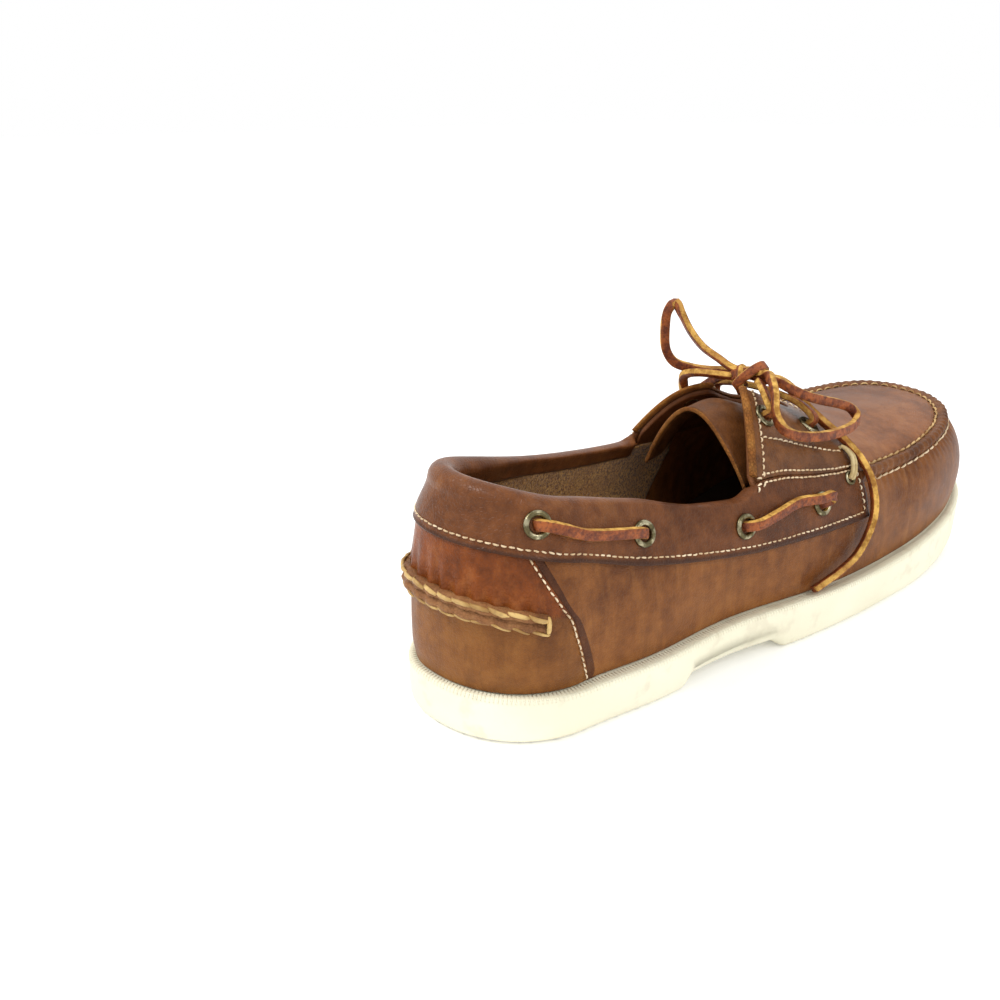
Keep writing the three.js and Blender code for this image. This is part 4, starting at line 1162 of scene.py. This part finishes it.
def wrap(name, middle, way, half_long, half_deep, edges=None):
    """A turn of lace round the knot: an ellipse that runs along way and faces the open side of the bow."""
    a = np.linspace(-0.4 * math.pi, 1.4 * math.pi, 16)
    out = np.array(TOWARDS)
    side = np.cross(out, way)
    points = (np.array(middle) + np.outer(half_long * np.cos(a), way) + np.outer(half_deep * np.sin(a), out)
              + np.outer(np.linspace(-0.8, 0.8, 16) + 1.6 * np.sin(a), side))
    return strap(name, points, edges or [side])[0]


knot = [
    wrap("lace_knot_wrap", KNOT, UPHILL, 6.2, 4.8),
    wrap("lace_knot_under", KNOT + [-3.0, -1.5, -1.6], (-0.35, 0.1, 0.93), 4.3, 3.2, [TOWARDS]),
    strap("lace_knot_core", [(-1.2, 147.6, 92.4), (2.0, 147.2, 94.6), (6.5, 148.8, 95.6), (10.4, 150.6, 94.4),
                             (13.2, 151.2, 92.8)], [UP])[0],
]
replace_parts(knot[0], "lace_knot")

# Each route is that of the lace's own solid, and each table gives the ways that its golden edge looks in turn.
LOOP_INNER = [
    (-2.4, 147.4, 96), (-8, 146.8, 98.3), (-14.3, 145, 101.7), (-19.3, 143, 107.2), (-22.8, 141, 113.8),
    (-25.6, 140, 118), (-28.3, 139, 114.5), (-29.3, 139, 105.8), (-28.9, 140, 98.6), (-26.8, 142.6, 93.8),
    (-22, 146.6, 91.8), (-15.5, 149.8, 91.4), (-9, 151, 92.3), (-2.6, 151.6, 92.6),
]
LOOP_OUTER = [
    (14, 148.6, 95.8), (20, 143.6, 96.3), (26.2, 138.4, 92.9), (30.6, 134.4, 86.8), (32.6, 136.5, 82), (34, 142, 78.8),
    (35.4, 150, 76.9), (36, 160, 75.7), (35, 171, 75.1), (32.8, 180, 75), (29.8, 186.5, 76.4), (27, 186, 79),
    (25.6, 180, 81.6), (24.8, 171.5, 84.2), (23.5, 162, 87.4), (20.8, 156, 90.4), (17, 153, 92.9), (13.6, 151.8, 93.6),
]
END_OUTER = [
    (9.6, 156, 92), (10.5, 160.5, 91.2), (12.5, 165, 88.3), (15.3, 168, 84.2), (18.8, 169.9, 80.3), (25, 172, 75.6),
    (32, 175.3, 70.2), (39.9, 176, 64.6), (44.4, 177.2, 58.2), (47, 177.8, 51.1), (48.7, 176.9, 44.4),
    (49.5, 173.7, 37.7), (49.7, 167.3, 30), (49.2, 158, 25.6), (48.2, 150.5, 22.8), (47.4, 145.3, 21),
]
END_INNER = [
    (-0.8, 154.4, 91.6), (-7.5, 156, 90.6), (-14.5, 156.6, 88), (-21.4, 156.8, 83.2), (-28.6, 157, 77.2),
    (-35, 157.4, 69.6), (-39.5, 158, 61), (-42.4, 158.2, 52), (-43.8, 158.6, 43), (-44, 160, 34.5), (-43.8, 163, 28.5),
    (-44.2, 167, 24),
]
CORDS = [
    ("lace_bow_inner", "lace_loop_inner", LOOP_INNER, "knot",
     [TOWARDS, TOWARDS, TOWARDS, RIGHT, (0.5, 0.5, 0.8), HALF_UP, HALF_UP]),
    ("lace_bow_outer", "lace_loop_outer", LOOP_OUTER, "knot", [TOWARDS, TOWARDS, UP, UP, UP, UP, UP]),
    ("lace_tail_outer", "lace_end_outer", END_OUTER, "bare", [UP, (0.4, -0.4, 0.8), TOWARDS, TOWARDS, TOWARDS]),
    ("lace_tail_inner", "lace_end_inner", END_INNER, "bare", [UP, (-0.5, 0, 0.8), (-1, 0, 0.3), (-1, 0, 0.1)]),
]
for name, node, route, far_end, edges in CORDS:
    inside = [(5.0, 150.0, 94.0)]                # where the lace is hidden in the knot
    piece, path, length = strap(name, inside + route + (inside if far_end == "knot" else []), edges)
    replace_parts(piece, node)
    metres = (path + SHIFT) / 1000
    round(length / 1000, 4)
    knot if name == "lace_bow_inner" else ()

# ==== Camera, light and floor ====================================================================
# A white sweep under broad soft lights, as for a catalogue.
camera = placed("camera", bpy.data.cameras.new("camera"))
camera.data.lens, camera.data.sensor_width = 36.0, 36.0
camera.matrix_world = Matrix(((0.612, -0.293, 0.735, 0.2424), (0.791, 0.232, -0.566, -0.3000),
                              (-0.004, 0.928, 0.373, 0.1922), (0, 0, 0, 1)))
bpy.context.scene.camera = camera
bpy.context.scene.view_settings.view_transform = "Standard"


def pale_floor():
    f = Finish("pale_floor")
    return f.shader(Base_Color=f.mix(f.noise(3, 2), (0.93, 0.93, 0.92, 1), (0.95, 0.95, 0.95, 1)), Roughness=0.9,
                    Specular_IOR_Level=0.1, Emission_Color=(1, 1, 1, 1), Emission_Strength=0.12)


REACH = 6.0                  # metres from the middle of the floor to its edges
floor_mesh = bpy.data.meshes.new("floor")
floor_mesh.from_pydata([(x * REACH, y * REACH, 0) for x, y in ((-1, -1), (1, -1), (1, 1), (-1, 1))], [], [(0, 1, 2, 3)])
floor_mesh.materials.append(pale_floor())
floor = placed("floor", floor_mesh)

world = bpy.data.worlds.new("white_room")
world.use_nodes = True
sky = world.node_tree.nodes["Background"].inputs
sky["Color"].default_value, sky["Strength"].default_value = (1, 1, 1, 1), 1.0
bpy.context.scene.world = world
for name, place, size, power in [
    ("key_light", (-0.25, -0.6, 0.85), 0.25, 5.0), ("side_light", (0.8, 0.1, 0.8), 0.4, 2.5),
    ("front_light", (-0.45, 0.7, 0.75), 0.3, 0.7),
]:
    lamp = bpy.data.lights.new(name, "AREA")
    lamp.size, lamp.energy = size, power
    light = placed(name, lamp)
    light.location = place
    light.rotation_mode = "QUATERNION"
    light.rotation_quaternion = (-Vector(place)).to_track_quat("-Z", "Y")
